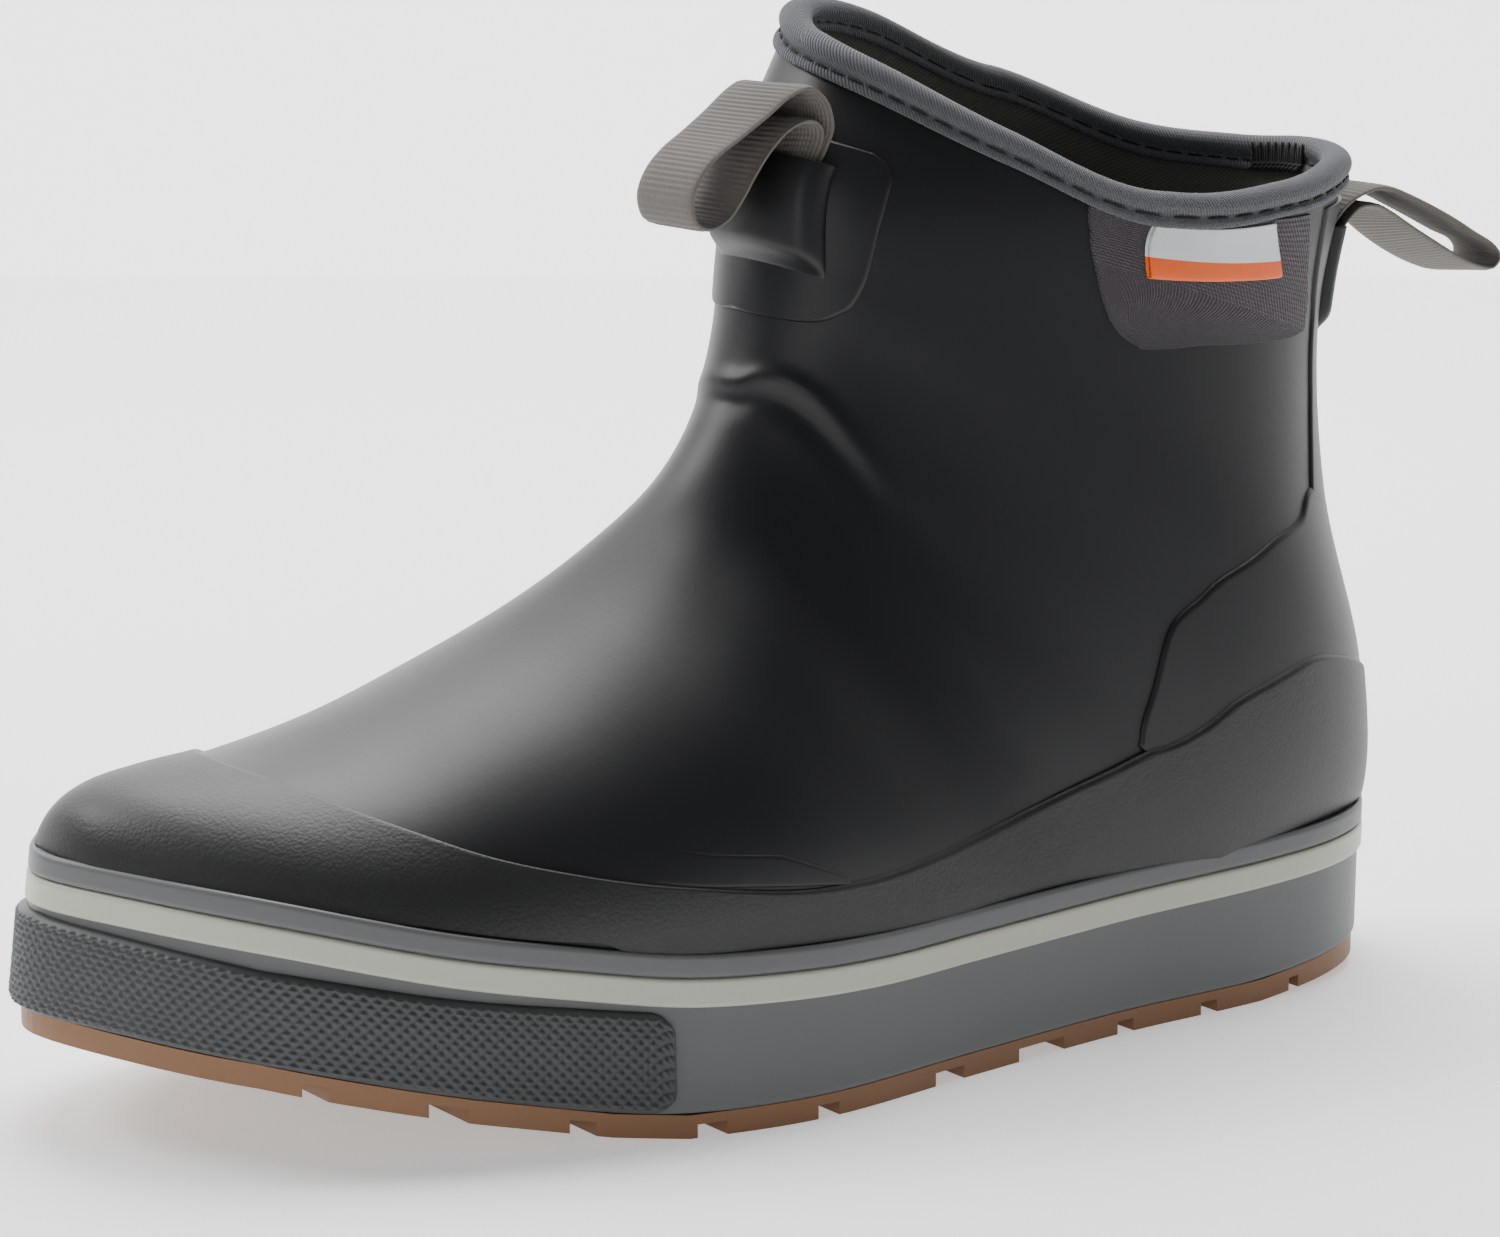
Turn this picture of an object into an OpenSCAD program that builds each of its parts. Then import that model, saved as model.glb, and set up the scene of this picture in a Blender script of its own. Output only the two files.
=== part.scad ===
// Low pull-on deck boot, left foot: a rubber shaft over a cloth sock, on a
// vulcanised cup of foxing strips with a gum outsole.
// +Z is up, the toe points to -Y and the outer (lateral) side is +X. Millimetres.

/* [Rubber walls] */
// Thickness of the rubber upper
shell_wall = 2.2; // [1.6:0.1:2.8]
// Thickness of the sock lining inside it
lining_wall = 1.3; // [0.8:0.1:1.6]
// Thickness of the grained guard round the foot
guard_wall = 0.9; // [0.5:0.1:1.2]
// Thickness of the counter and other thin rubber overlays
overlay_wall = 0.8; // [0.5:0.1:1.2]

/* [Sole] */
// Thickness of the gum outsole
outsole_t = 4.5; // [3.5:0.1:5.5]
// Depth of the drainage channels under the outsole
channel_depth = 2.6; // [1.5:0.1:3.2]
// Depth of the fine cuts in the outsole
sipe_depth = 1.2; // [0.6:0.1:2]
// Width of one fine cut
sipe_w = 0.8; // [0.5:0.1:1.2]
// Height of the pale stripe
stripe_h = 5.5; // [3:0.5:7]
// Height of the band above the stripe
top_band_h = 4.5; // [3:0.5:6]
// How far the toe bumper stands proud
bumper_t = 2.4; // [1:0.1:3]

/* [Inside] */
// Thickness of the insole board
board_t = 1.6; // [1:0.1:2.5]
// Thickness of the footbed foam
footbed_t = 5; // [3:0.5:7]
// Thickness of the cloth on the footbed
topcloth_t = 0.8; // [0.5:0.1:1.2]

/* [Collar and loops] */
// Radius of the rolled edge of the collar binding
roll_r = 2.7; // [2:0.1:3.5]
// Depth of the binding tape below the top of the roll
tape_drop = 6.9; // [6.5:0.1:9]
// Width of the pull loops' webbing
webbing_w = 20; // [16:1:25]
// Thickness of the webbing
webbing_t = 1.3; // [1:0.1:1.6]
// Length of the woven side label along the collar
label_l = 34; // [25:1:40]
// Height of the woven side label
label_h = 10.2; // [8:0.2:13]

/* [Hidden] */

// ---- colours ----
RUBBER = "#1b1c1e";
GREY = "#55585c";
PALE = "#9fa294";
GUM = "#80603f";
TAPE = "#3d3f44";
WEBBING = "#77736f";

// ---- the upper's sections ----
// One section per row, each in the plane through its front point F and its back
// or bottom point B: [F y,z], [B y,z], outer half-width, inner half-width,
// x of the middle, place of the widest point from B, roundness above, below.
SECTIONS = [
  [[-144.5, 48], [-144.5, 42], 5, 5, -10, 0.5, 2, 2],
  [[-143.5, 53], [-142.5, 34], 10.5, 11.5, -10, 0.5, 2.1, 2.2],
  [[-140, 60], [-139, 28], 18, 17, -9.5, 0.45, 2.1, 2.5],
  [[-132.5, 64], [-131.5, 24], 29.5, 26, -8, 0.42, 2.1, 2.9],
  [[-121, 66], [-120, 20], 39.5, 35, -6, 0.42, 2.1, 3.2],
  [[-104, 68], [-102, 17], 48, 43, -4, 0.42, 2.1, 3.4],
  [[-83, 74], [-80, 14], 52.5, 47.5, -2, 0.4, 2, 3.6],
  [[-61, 83], [-50, 12.5], 58.5, 49, -1, 0.38, 2, 3.6],
  [[-44, 92.5], [-15, 12], 59.5, 43.5, 0, 0.36, 2, 3.6],
  [[-30, 102.5], [22, 12], 53, 38, 1, 0.33, 2, 3.4],
  [[-19, 112], [65, 12], 43.5, 36, 2, 0.34, 2, 3.2],
  [[-11, 122], [112, 13], 41, 39, 2, 0.38, 2, 2.8],
  [[-6, 132], [144.5, 27], 39.5, 39.5, 1, 0.42, 2.1, 2.3],
  [[-2.5, 142], [149.5, 58], 37, 36.5, 0, 0.45, 2.2, 2.2],
  [[0.5, 155], [140.5, 97], 34, 33.5, -1, 0.48, 2.4, 2.2],
  [[4, 172], [139.5, 134], 32, 32, -2, 0.5, 2.5, 2.2]
];
// How strongly a wall's thickness also moves each section back from the toe
TOE_SHIFT = [1, 0.95, 0.8, 0.55, 0.3, 0.12, 0.04, 0, 0, 0, 0, 0, 0, 0, 0, 0];
LAST = len(SECTIONS);
// Collar line: centre, half-sizes, and its height every 30 degrees from the front
// round by the outer side
COLLAR_X = -2;
COLLAR_Y = 81.2;
COLLAR_RX = 31;
COLLAR_RY = 64.8;
COLLAR_Z = [198, 191, 179, 165.5, 165.5, 169, 171, 171, 174.5, 187, 200, 203];
EDGE_DROP = 4; // the rubber's cut edge lies this far below the collar line

// ---- the sole's plan and side profile ----
PLAN = [
  [0, 150], [22, 140], [34.5, 125], [41.5, 100], [46, 60], [54, 20], [62.5, -20],
  [60.5, -50], [54, -80], [46.5, -105], [34.5, -125], [15, -140], [-10, -150],
  [-30, -142], [-40, -130], [-50, -105], [-53, -80], [-52, -50], [-46, -20],
  [-38, 20], [-36, 60], [-37.5, 98], [-31.5, 124], [-20, 139.5]
];
BOTTOM_Z = [[-150, 19], [-125, 15], [-90, 7], [-65, 2], [-50, 0], [100, 0], [150, 3.3]];
FOXING_Z = [[-150, 53], [-125, 50], [-90, 41.6], [-50, 34.6], [0, 32.5], [50, 32.8],
  [100, 33.8], [150, 35.1]];
// How far the sidewall leans in from the plan at its top edge
LEAN = [[-150, 4], [-125, 2.6], [-90, 1.6], [100, 1.4], [135, 0], [150, -1.3]];

// Guard: lower and upper edge as [row, degrees, row, degrees] on the upper,
// from the toe round the outer side to the heel
GUARD = [
  [0.1, 0, 4.5, 0], [0.3, 20, 4.55, 10], [0.8, 42, 4.75, 22], [1.6, 57, 5.1, 38],
  [2.6, 66, 5.5, 51], [3.6, 73, 6, 63], [5.1, 79, 6.7, 74.5], [6.3, 88, 7.3, 81],
  [7.5, 95, 8, 86.5], [8.2, 98, 8.6, 88], [8.8, 100, 9.2, 88], [9.7, 102, 10, 88],
  [10.3, 104, 10.6, 88], [10.7, 108, 11.1, 89.5], [11.1, 117, 11.6, 93],
  [11.5, 128, 12.1, 99], [11.8, 139, 12.6, 112], [12, 151, 12.85, 124],
  [12.15, 165, 13, 145], [12.2, 180, 13.05, 180]
];
// Heel counter: lower and upper edge in the same form, from the outer side to the back
COUNTER = [
  [11.1, 92, 11.12, 88.6], [11.3, 97, 11.4, 86.5], [11.6, 104, 12, 85.5],
  [12, 113, 12.4, 88], [12.3, 122, 12.9, 96], [12.5, 133, 13.4, 112],
  [12.6, 143, 13.7, 127], [12.65, 151, 13.95, 137.5], [12.68, 165, 13.95, 158],
  [12.7, 180, 13.95, 180]
];
// Outer edge of the front patch in degrees, by row; the inner edge is nearer the front
PATCH_INNER_SHARE = 0.62;
PATCH = [[13.25, 13], [13.45, 27], [13.8, 35.5], [14.2, 40], [14.75, 43.5], [15.2, 42.5],
  [15.38, 36]];
// Back strip's edge in degrees, by row
STRIP = [[13.98, 138], [14.5, 146], [15, 148], [15.75, 138]];

// Overlays lie this far off the rubber's facets, and off each other
skin_gap = 0.3;
overlay_top = skin_gap + overlay_wall;

RING_N = 36; // points round one section
ROWS_PER = 2; // rows per section step

// ---- small maths ----
function spow(v, p) = sign(v) * pow(abs(v), p);
function mix(a, b, f) = a + (b - a) * f;
function unit(v) = v / norm(v);
function sweepline(a, b, c, d, f) =
  0.5 * (2 * b + (c - a) * f + (2 * a - 5 * b + 4 * c - d) * f * f
    + (3 * b - a - 3 * c + d) * f * f * f);
function at_round(list, i) = list[(i + 2 * len(list)) % len(list)];
function round_value(list, u) =
  let (i = floor(u), f = u - i)
    sweepline(at_round(list, i - 1), at_round(list, i), at_round(list, i + 1),
      at_round(list, i + 2), f);

// ---- the upper's surface: row u, degrees a round from the front, depth d in ----
function section_point(i, a, d) =
  let (
    s = SECTIONS[i],
    along = unit(s[0] - s[1]),
    f = s[0] - along * d,
    b = s[1] + along * d,
    n = cos(a) >= 0 ? s[6] : s[7],
    up = spow(cos(a), 2 / n),
    across = spow(sin(a), 2 / n),
    share = cos(a) >= 0 ? mix(s[5], 1, up) : s[5] * (1 + up),
    p = mix(b, f, share),
    w = (across >= 0 ? s[2] : s[3]) - d
  ) [s[4] + w * across, p[0] + d * TOE_SHIFT[i], p[1]];
function collar_point(a, d, drop) =
  [COLLAR_X + (COLLAR_RX - d) * spow(sin(a), 0.87),
   COLLAR_Y - (COLLAR_RY - d) * spow(cos(a), 0.87),
   round_value(COLLAR_Z, a / 30) - drop];
function row_point(i, a, d) =
  i < 0 ? 2 * section_point(0, a, d) - section_point(1, a, d)
  : i < LAST ? section_point(i, a, d)
  : i == LAST ? collar_point(a, d, EDGE_DROP)
  : 2 * collar_point(a, d, EDGE_DROP) - section_point(LAST - 1, a, d);
function upper_point(u, a, d) =
  let (i = min(floor(u), LAST - 1), f = u - i)
    sweepline(row_point(i - 1, a, d), row_point(i, a, d), row_point(i + 1, a, d),
      row_point(i + 2, a, d), f);

// How far the upper moves outward, across the collar line, for each mm below its edge
function collar_lean(a) =
  let (
    down = upper_point(LAST - 0.25, a, 0) - upper_point(LAST, a, 0),
    round = upper_point(LAST, a + 2, 0) - upper_point(LAST, a - 2, 0),
    t = unit([round[0], round[1]]),
    slide = (down[0] * t[0] + down[1] * t[1]) / (round[0] * t[0] + round[1] * t[1]),
    fall = down - slide * round
  ) [fall[0], fall[1], 0] / -fall[2];
// A point on the binding: out from the collar line and up from its top
function binding_point(a, out, up) =
  collar_point(a, -out, -up) + collar_lean(a) * max(0, -up - EDGE_DROP);

// ---- the sole's outline: step k of PLAN, inset d ----
function plan_point(k, d) =
  let (
    p = round_value(PLAN, k),
    t = unit(round_value(PLAN, k + 0.02) - round_value(PLAN, k - 0.02))
  ) p + [t[1], -t[0]] * d;
function plan_polygon(d) = [for (k = [0:0.125:len(PLAN) - 0.1]) plan_point(k, d)];
function wall_height(y) = lookup(y, FOXING_Z) - lookup(y, BOTTOM_Z);
// A point on the sidewall: step k, height h above the bottom edge, depth d in
function wall_point(k, h, d) =
  let (
    y0 = plan_point(k, 0)[1],
    top = wall_height(y0),
    p = plan_point(k, d + lookup(y0, LEAN) * h / top)
  ) [p[0], p[1], lookup(y0, BOTTOM_Z) + h];

// ---- skins: rows of points made into closed solids ----
// Two facing grids of points, outer and inner, closed round their edges
module slab(outer, inner) {
  m = len(outer);
  n = len(outer[0]);
  base = m * n;
  polyhedron(
    points = concat([for (r = outer) each r], [for (r = inner) each r]),
    faces = concat(
      [for (i = [0:m - 2], j = [0:n - 2]) each [
        [i * n + j, i * n + j + 1, (i + 1) * n + j + 1],
        [i * n + j, (i + 1) * n + j + 1, (i + 1) * n + j]]],
      [for (i = [0:m - 2], j = [0:n - 2]) each [
        [base + i * n + j, base + (i + 1) * n + j + 1, base + i * n + j + 1],
        [base + i * n + j, base + (i + 1) * n + j, base + (i + 1) * n + j + 1]]],
      [for (i = [0:m - 2], e = [0, n - 1]) let (p = i * n + e, q = p + n) each
        e == 0 ? [[p, q, base + q], [p, base + q, base + p]]
        : [[p, base + q, q], [p, base + p, base + q]]],
      [for (j = [0:n - 2], e = [0, m - 1]) let (p = e * n + j, q = p + 1) each
        e == 0 ? [[p, base + q, q], [p, base + p, base + q]]
        : [[p, q, base + q], [p, base + q, base + p]]]
    ),
    convexity = 8
  );
}
// Rings of points, one after another, closed at both ends by a fan
module bag(rings) {
  m = len(rings);
  n = len(rings[0]);
  middle = function (r) [for (c = [0:2]) [for (p = r) p[c]] * [for (p = r) 1] / n];
  polyhedron(
    points = concat([for (r = rings) each r], [middle(rings[0]), middle(rings[m - 1])]),
    faces = concat(
      [for (i = [0:m - 2], j = [0:n - 1]) let (k = (j + 1) % n) each [
        [i * n + j, i * n + k, (i + 1) * n + k],
        [i * n + j, (i + 1) * n + k, (i + 1) * n + j]]],
      [for (j = [0:n - 1]) [m * n, (j + 1) % n, j]],
      [for (j = [0:n - 1]) let (s = (m - 1) * n) [m * n + 1, s + j, s + (j + 1) % n]]
    ),
    convexity = 8
  );
}
// Closed cross-sections joined in a closed loop
module hoop(sections) {
  m = len(sections);
  n = len(sections[0]);
  polyhedron(
    points = [for (s = sections) each s],
    faces = [for (i = [0:m - 1], j = [0:n - 1])
      let (i2 = (i + 1) % m, j2 = (j + 1) % n) each [
        [i * n + j, i * n + j2, i2 * n + j2],
        [i * n + j, i2 * n + j2, i2 * n + j]]],
    convexity = 8
  );
}
// An even patch on the upper: rows u, edge angles by row, depths outer and inner
module surface_patch(rows, from, to, columns, outer_d, inner_d) {
  grid = function (d) [for (u = rows) [for (j = [0:columns])
    upper_point(u, mix(from(u), to(u), j / columns), d)]];
  slab(grid(outer_d), grid(inner_d));
}
// A hollow sock on the upper between two depths
module sock(outer_d, inner_d, top) {
  rows = [for (u = [0:1 / ROWS_PER:LAST]) u];
  m = len(rows);
  ring = function (u, d, z) [for (j = [0:RING_N - 1])
    upper_point(u, 360 * j / RING_N, d) + [0, 0, z]];
  bag(concat(
    [for (u = rows) ring(u, outer_d, u == LAST ? top : 0)],
    [for (i = [m - 1:-1:0]) ring(rows[i], inner_d, rows[i] == LAST ? top : 0)]
  ));
}
// A band round the sidewall, between heights low and high, as functions of step k
module wall_band(low, high, outer_low, outer_high, inner_low, inner_high, steps) {
  hoop([for (k = steps) [
    wall_point(k, low(k), inner_low), wall_point(k, high(k), inner_high),
    wall_point(k, high(k), outer_high), wall_point(k, low(k), outer_low)]]);
}
// The space between two side profiles, lower and upper, right across the foot
module between_profiles(lower, upper) {
  rotate([90, 0, 90])
    translate([0, 0, -80])
      linear_extrude(160)
        polygon(concat(lower, [for (i = [len(upper) - 1:-1:0]) upper[i]]));
}
WALL_STEPS = [for (k = [0:1 / 3:len(PLAN) - 0.1]) k];
function foxing_top(k) = wall_height(plan_point(k, 0)[1]);
function raised(profile, h) = [for (p = profile) [p[0], p[1] + h]];

// ---- sole ----
// Where the channels cross the outsole: y at the middle and width
CHANNELS = [[-117, 4], [-95, 7], [-70.5, 5], [-45.5, 6], [-20.5, 5], [12, 8], [62, 4.5],
  [85, 4.5], [110, 3]];
ARCH_GAP = [38, 13];
module outsole() color(GUM) {
  difference() {
    intersection() {
      linear_extrude(60)
        polygon(plan_polygon(0.6));
      between_profiles(BOTTOM_Z, raised(BOTTOM_Z, outsole_t));
    }
    for (c = CHANNELS)
      intersection() {
        translate([-80, c[0] - c[1] / 2, -1])
          cube([160, c[1], 60]);
        between_profiles(raised(BOTTOM_Z, -5), raised(BOTTOM_Z, channel_depth));
      }
    translate([-80, ARCH_GAP[0] - ARCH_GAP[1] / 2, -1])
      cube([160, ARCH_GAP[1], 1 + channel_depth]);
    for (y = [-38:5:-28])
      translate([-44, y, -1])
        cube([96, sipe_w, 1 + sipe_depth]);
    for (y = [-14:5:-4])
      translate([-40, y, -1])
        cube([90, sipe_w, 1 + sipe_depth]);
    for (y = [68:4:80])
      translate([-30, y, -1])
        cube([66, sipe_w, 1 + sipe_depth]);
  }
}
// Foam filler between the outsole and the foot, inside the sidewall
MIDSOLE_TOP = [[-141, 27.5], [-132, 23.5], [-120, 19.6], [-102, 16.6], [-80, 13.6], [-50, 12.1],
  [-15, 11.7], [50, 11.2], [95, 11.2], [112, 11.8], [140, 13.4]];
MIDSOLE_Y = [-141, -132, -125, -120, -102, -90, -80, -65, -50, -15, 50, 95, 112, 140];
MIDSOLE_TOP_FINE = [for (y = MIDSOLE_Y) [y, lookup(y, MIDSOLE_TOP)]];
MIDSOLE_LOW = [for (y = MIDSOLE_Y) [y, lookup(y, BOTTOM_Z) + outsole_t + 0.05]];
module midsole() color("#8c8577")
  intersection() {
    linear_extrude(60)
      polygon(plan_polygon(5.4));
    between_profiles(MIDSOLE_LOW, MIDSOLE_TOP_FINE);
  }
// The upper's outside, grown by a little, as one solid
module upper_outside(grow)
  bag([for (u = [0:1 / ROWS_PER:LAST]) [for (j = [0:RING_N - 1])
    upper_point(u, -360 * j / RING_N, -grow)]]);
module foxing_sidewall() color(GREY)
  difference() {
    wall_band(function (k) outsole_t, function (k) foxing_top(k), 0, -0.4, 4.6, 0.9,
      WALL_STEPS);
    upper_outside(0.1);
  }
module foxing_stripe() color(PALE)
  wall_band(
    function (k) foxing_top(k) - top_band_h - stripe_h,
    function (k) foxing_top(k) - top_band_h - 0.2, -1.1, -1.1, -0.45, -0.45, WALL_STEPS);
module foxing_top_band() color(GREY)
  wall_band(function (k) foxing_top(k) - top_band_h, function (k) foxing_top(k),
    -1.1, -0.9, -0.45, -0.45, WALL_STEPS);
// The bumper runs round the toe from step 7 on the outer side to 17 on the inner
module toe_bumper() color(GREY) {
  steps = [for (i = [21:51]) i / 3];
  lows = function (d) [for (k = steps) wall_point(k, outsole_t + 0.6, d)];
  rise = function (k) foxing_top(k) - top_band_h - stripe_h
    - lookup(abs(k - 12), [[0, 1], [2, 3], [4, 1]]);
  highs = function (d) [for (k = steps) wall_point(k, rise(k), d)];
  slab([highs(-bumper_t), lows(-bumper_t)], [highs(-0.45), lows(-0.1)]);
}

// ---- upper ----
module upper_shell() color(RUBBER) sock(0, shell_wall, 0);
lining_d = shell_wall + 0.3;
module lining() color("#4a4b45") sock(lining_d, lining_d + lining_wall, -0.3);
function mirrored(g) = [g[0], 360 - g[1], g[2], 360 - g[3]];
// Extra columns between those stated, so that none is more than 9 degrees or half a
// row from the next
function steps_between(g, h) = max(1, ceil(max(abs(h[1] - g[1]) / 9, abs(h[3] - g[3]) / 9,
  abs(h[0] - g[0]) / 0.5, abs(h[2] - g[2]) / 0.5)));
function finer(list) = concat([for (i = [0:len(list) - 2])
  let (n = steps_between(list[i], list[i + 1]))
    for (j = [0:n - 1]) mix(list[i], list[i + 1], j / n)], [list[len(list) - 1]]);
GUARD_SIDE = finer(GUARD);
GUARD_ALL = concat(GUARD_SIDE, [for (i = [len(GUARD_SIDE) - 2:-1:1]) mirrored(GUARD_SIDE[i])]);
function guard_lift(u) = lookup(u, [[9.5, skin_gap + 0.1], [11, overlay_top + 0.5]]);
function guard_edge(g, f, w) = upper_point(mix(g[0], g[2], f), mix(g[1], g[3], f),
  -guard_lift(mix(g[0], g[2], f)) - w);
// The share up from the lower edge at which the guard comes clear of the sidewall
function guard_start(g) = [for (f = [0:0.04:0.9])
  let (p = guard_edge(g, f, guard_wall))
    if (p[2] > lookup(p[1], FOXING_Z) + 0.7) f][0];
module toe_heel_guard() color("#202123")
  hoop([for (g = GUARD_ALL) let (start = guard_start(g)) concat(
    [for (i = [0:4]) guard_edge(g, mix(start, 1, i / 4), guard_wall)],
    [for (i = [4:-1:0]) guard_edge(g, mix(start, 1, i / 4), 0)]
  )]);
// Thin layer under the guard's upper edge on the outer side of the forefoot
module vamp_reinforcement() color("#1d1e20")
  surface_patch([for (u = [7:0.25:8.5]) u],
    function (u) lookup(u, [[7, 69.5], [7.4, 74.5], [8, 79], [8.5, 87]]) - 0.4,
    function (u) lookup(u, [[7, 76], [7.4, 80], [8, 85], [8.5, 87.2]]), 2, -0.28, -0.05);
COUNTER_SIDE = finer(COUNTER);
COUNTER_ALL = concat(COUNTER_SIDE,
  [for (i = [len(COUNTER_SIDE) - 2:-1:0]) mirrored(COUNTER_SIDE[i])]);
module heel_counter() color(RUBBER) {
  grid = function (d) [for (g = COUNTER_ALL) [for (f = [0:0.2:1])
    upper_point(mix(g[0], g[2], f), mix(g[1], g[3], f), d)]];
  slab(grid(-overlay_top - 0.15), grid(-skin_gap - 0.15));
}
module back_strip() color(RUBBER)
  surface_patch([for (u = [14, 14.25, 14.5, 14.75, 15, 15.25, 15.5, 15.7]) u],
    function (u) lookup(u, STRIP), function (u) 360 - lookup(u, STRIP),
    10, -overlay_top, -skin_gap);
module kick_lug() color(RUBBER)
  surface_patch([13.28, 13.4, 13.52, 13.64], function (u) 173, function (u) 187,
    2, -4, -overlay_top - 0.2);
module front_patch() color(RUBBER)
  surface_patch([for (p = PATCH) p[0]], function (u) -PATCH_INNER_SHARE * lookup(u, PATCH),
    function (u) lookup(u, PATCH), 10, -overlay_top, -skin_gap);
// Raised cover that holds the loop's tail, open at its top edge
POCKET_ROWS = [14, 14.12, 14.3, 14.7, 15, 15.2];
POCKET_MIDDLE = 10;
POCKET_HALF = 20;
tail_gap = 2 * webbing_t + 1.7;
module front_pocket() color(RUBBER) {
  base = overlay_top + 0.2;
  cols = [-1, -0.93, -0.6, -0.3, 0, 0.3, 0.6, 0.93, 1];
  fill = function (u) lookup(u, [[14, 0], [14.12, 1], [15.2, 1]]);
  outer = function (c, u) base + 0.6 + (abs(c) == 1 ? 0 : tail_gap + 0.4) * fill(u);
  inner = function (c, u) base + (abs(c) == 1 ? 0 : tail_gap) * fill(u);
  grid = function (depth) [for (u = POCKET_ROWS) [for (c = cols)
    upper_point(u, POCKET_MIDDLE + c * POCKET_HALF, -depth(c, u))]];
  slab(grid(outer), grid(inner));
}
// Knit panel on the outer side, below the binding
GORE_FRONT = [[14.35, 90.8], [14.4, 88.5], [14.5, 87.3], [14.65, 86.5], [15, 85.2], [15.8, 78]];
GORE_BACK = [[14.35, 91.5], [14.42, 96.5], [14.52, 103.8], [14.68, 120.5], [14.85, 140],
  [15.1, 140], [15.4, 136], [15.8, 129]];
module gore_panel() color("#55505a")
  surface_patch([14.35, 14.42, 14.52, 14.68, 14.85, 15, 15.25, 15.5, 15.7],
    function (u) lookup(u, GORE_FRONT), function (u) lookup(u, GORE_BACK), 8, -1.05, -0.78);

// ---- webbing: a ribbon along points [y, z, sag], crowned to the shaft ----
HALF_COLS = [-1, -0.5, 0, 0.5, 1];
// skew is how far the shaft's middle lies to one side, in half-widths
function ribbon_row(p, half_w, skew) = [for (c = HALF_COLS)
  [c * half_w, p[0] + p[2] * ((c + skew) * (c + skew) - skew * skew), p[1]]];
function path_normal(path, i) =
  let (a = path[max(i - 1, 0)], b = path[min(i + 1, len(path) - 1)], t = unit([b[0] - a[0], b[1] - a[1]]))
    [t[1], -t[0]];
function shifted(path, d) = [for (i = [0:len(path) - 1])
  let (n = path_normal(path, i)) [path[i][0] + n[0] * d, path[i][1] + n[1] * d, path[i][2]]];
module ribbon(path, t, half_w, skew = 0) {
  slab([for (p = shifted(path, t)) ribbon_row(p, half_w, skew)],
    [for (p = path) ribbon_row(p, half_w, skew)]);
}
// Outer face of the front loop: from the top of the arch, out over the fold and back
FRONT_HINGE = [3.5, 185];
FRONT_LOOP = [
  [3.2, 187.6, 1.6], [0, 185.6, 1], [-4.5, 182, 0.5], [-9.5, 178.4, 0.2], [-14.2, 175.2, 0],
  [-17.6, 171.6, 0], [-19.4, 167.4, 0], [-18.4, 163.8, 0], [-15.4, 162.8, 0], [-12, 164.4, 0],
  [-9, 168, 0], [-6.6, 172, 0.1], [-4, 176.4, 0.4], [-1.8, 179.4, 0.7], [0.1, 181.2, 1]
];
FRONT_X = 4; // the loop hangs a little to the outer side of the middle
FRONT_SKEW = 0.6;
module front_loop() color(WEBBING)
  translate([FRONT_X, 0, 0])
    ribbon(FRONT_LOOP, webbing_t, webbing_w / 2, FRONT_SKEW);
// Both plies side by side, from inside the pocket up over the arch
FRONT_TAIL = [[0.1, 158, 1.2], [0.8, 166, 1.9], [2.5, 172, 2.3], [3.6, 176, 2.6], [4.8, 180, 2.7],
  [5.1, 181.6, 2.5]];
module front_loop_tail() color(WEBBING)
  translate([FRONT_X, 0, 0])
    ribbon(FRONT_TAIL, -2 * webbing_t, webbing_w / 2, FRONT_SKEW);

// Rear loop, in its own upright plane that is turned a little to the outer side
REAR_HINGE = [152.5, 160];
REAR_LOOP = [
  [154.2, 160.9, 0], [158.2, 160.6, 0], [163.3, 158.9, 0], [169, 156.2, 0], [174.8, 153.3, 0],
  [180.6, 150.1, 0], [185, 147.9, 0], [186.9, 144.7, 0], [184.8, 141.5, 0], [180.2, 141.4, 0],
  [174.6, 143.7, 0], [168.5, 147, 0], [163, 150.4, 0], [158.4, 153.6, 0], [154.6, 156.2, 0]
];
REAR_TURN = 12;
REAR_TAIL = [[143, 146, -2.6], [143.9, 150, -2.6], [145.3, 154, -2.4], [147.8, 157.2, -2],
  [150.2, 159.1, -1.2], [152, 159.9, -0.6]];
module rear_loop() color(WEBBING)
  translate([-2, REAR_HINGE[0], 0])
    rotate([0, 0, -REAR_TURN])
      translate([0, -REAR_HINGE[0], 0])
        ribbon([for (i = [len(REAR_LOOP) - 1:-1:0]) REAR_LOOP[i]], webbing_t, webbing_w / 2);
module rear_loop_tail() color(WEBBING)
  translate([-2, 0, 0])
    ribbon(REAR_TAIL, 2 * webbing_t, webbing_w / 2);
module rear_patch() color(RUBBER) {
  rows = [14.95, 15.08, 15.3, 15.55];
  base = overlay_top + 0.5;
  cols = [-1, -0.9, -0.4, 0.4, 0.9, 1];
  high = function (u) lookup(u, [[14.95, 0], [15.08, 1], [15.55, 1]]);
  outer = function (c, u) base + 0.6 + (abs(c) == 1 ? 0 : tail_gap) * high(u);
  inner = function (c, u) base + (abs(c) == 1 ? 0 : tail_gap) * high(u);
  grid = function (depth) [for (u = rows) [for (c = cols)
    upper_point(u, 180 + 20 * c, -depth(c, u))]];
  slab(grid(outer), grid(inner));
}

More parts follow.
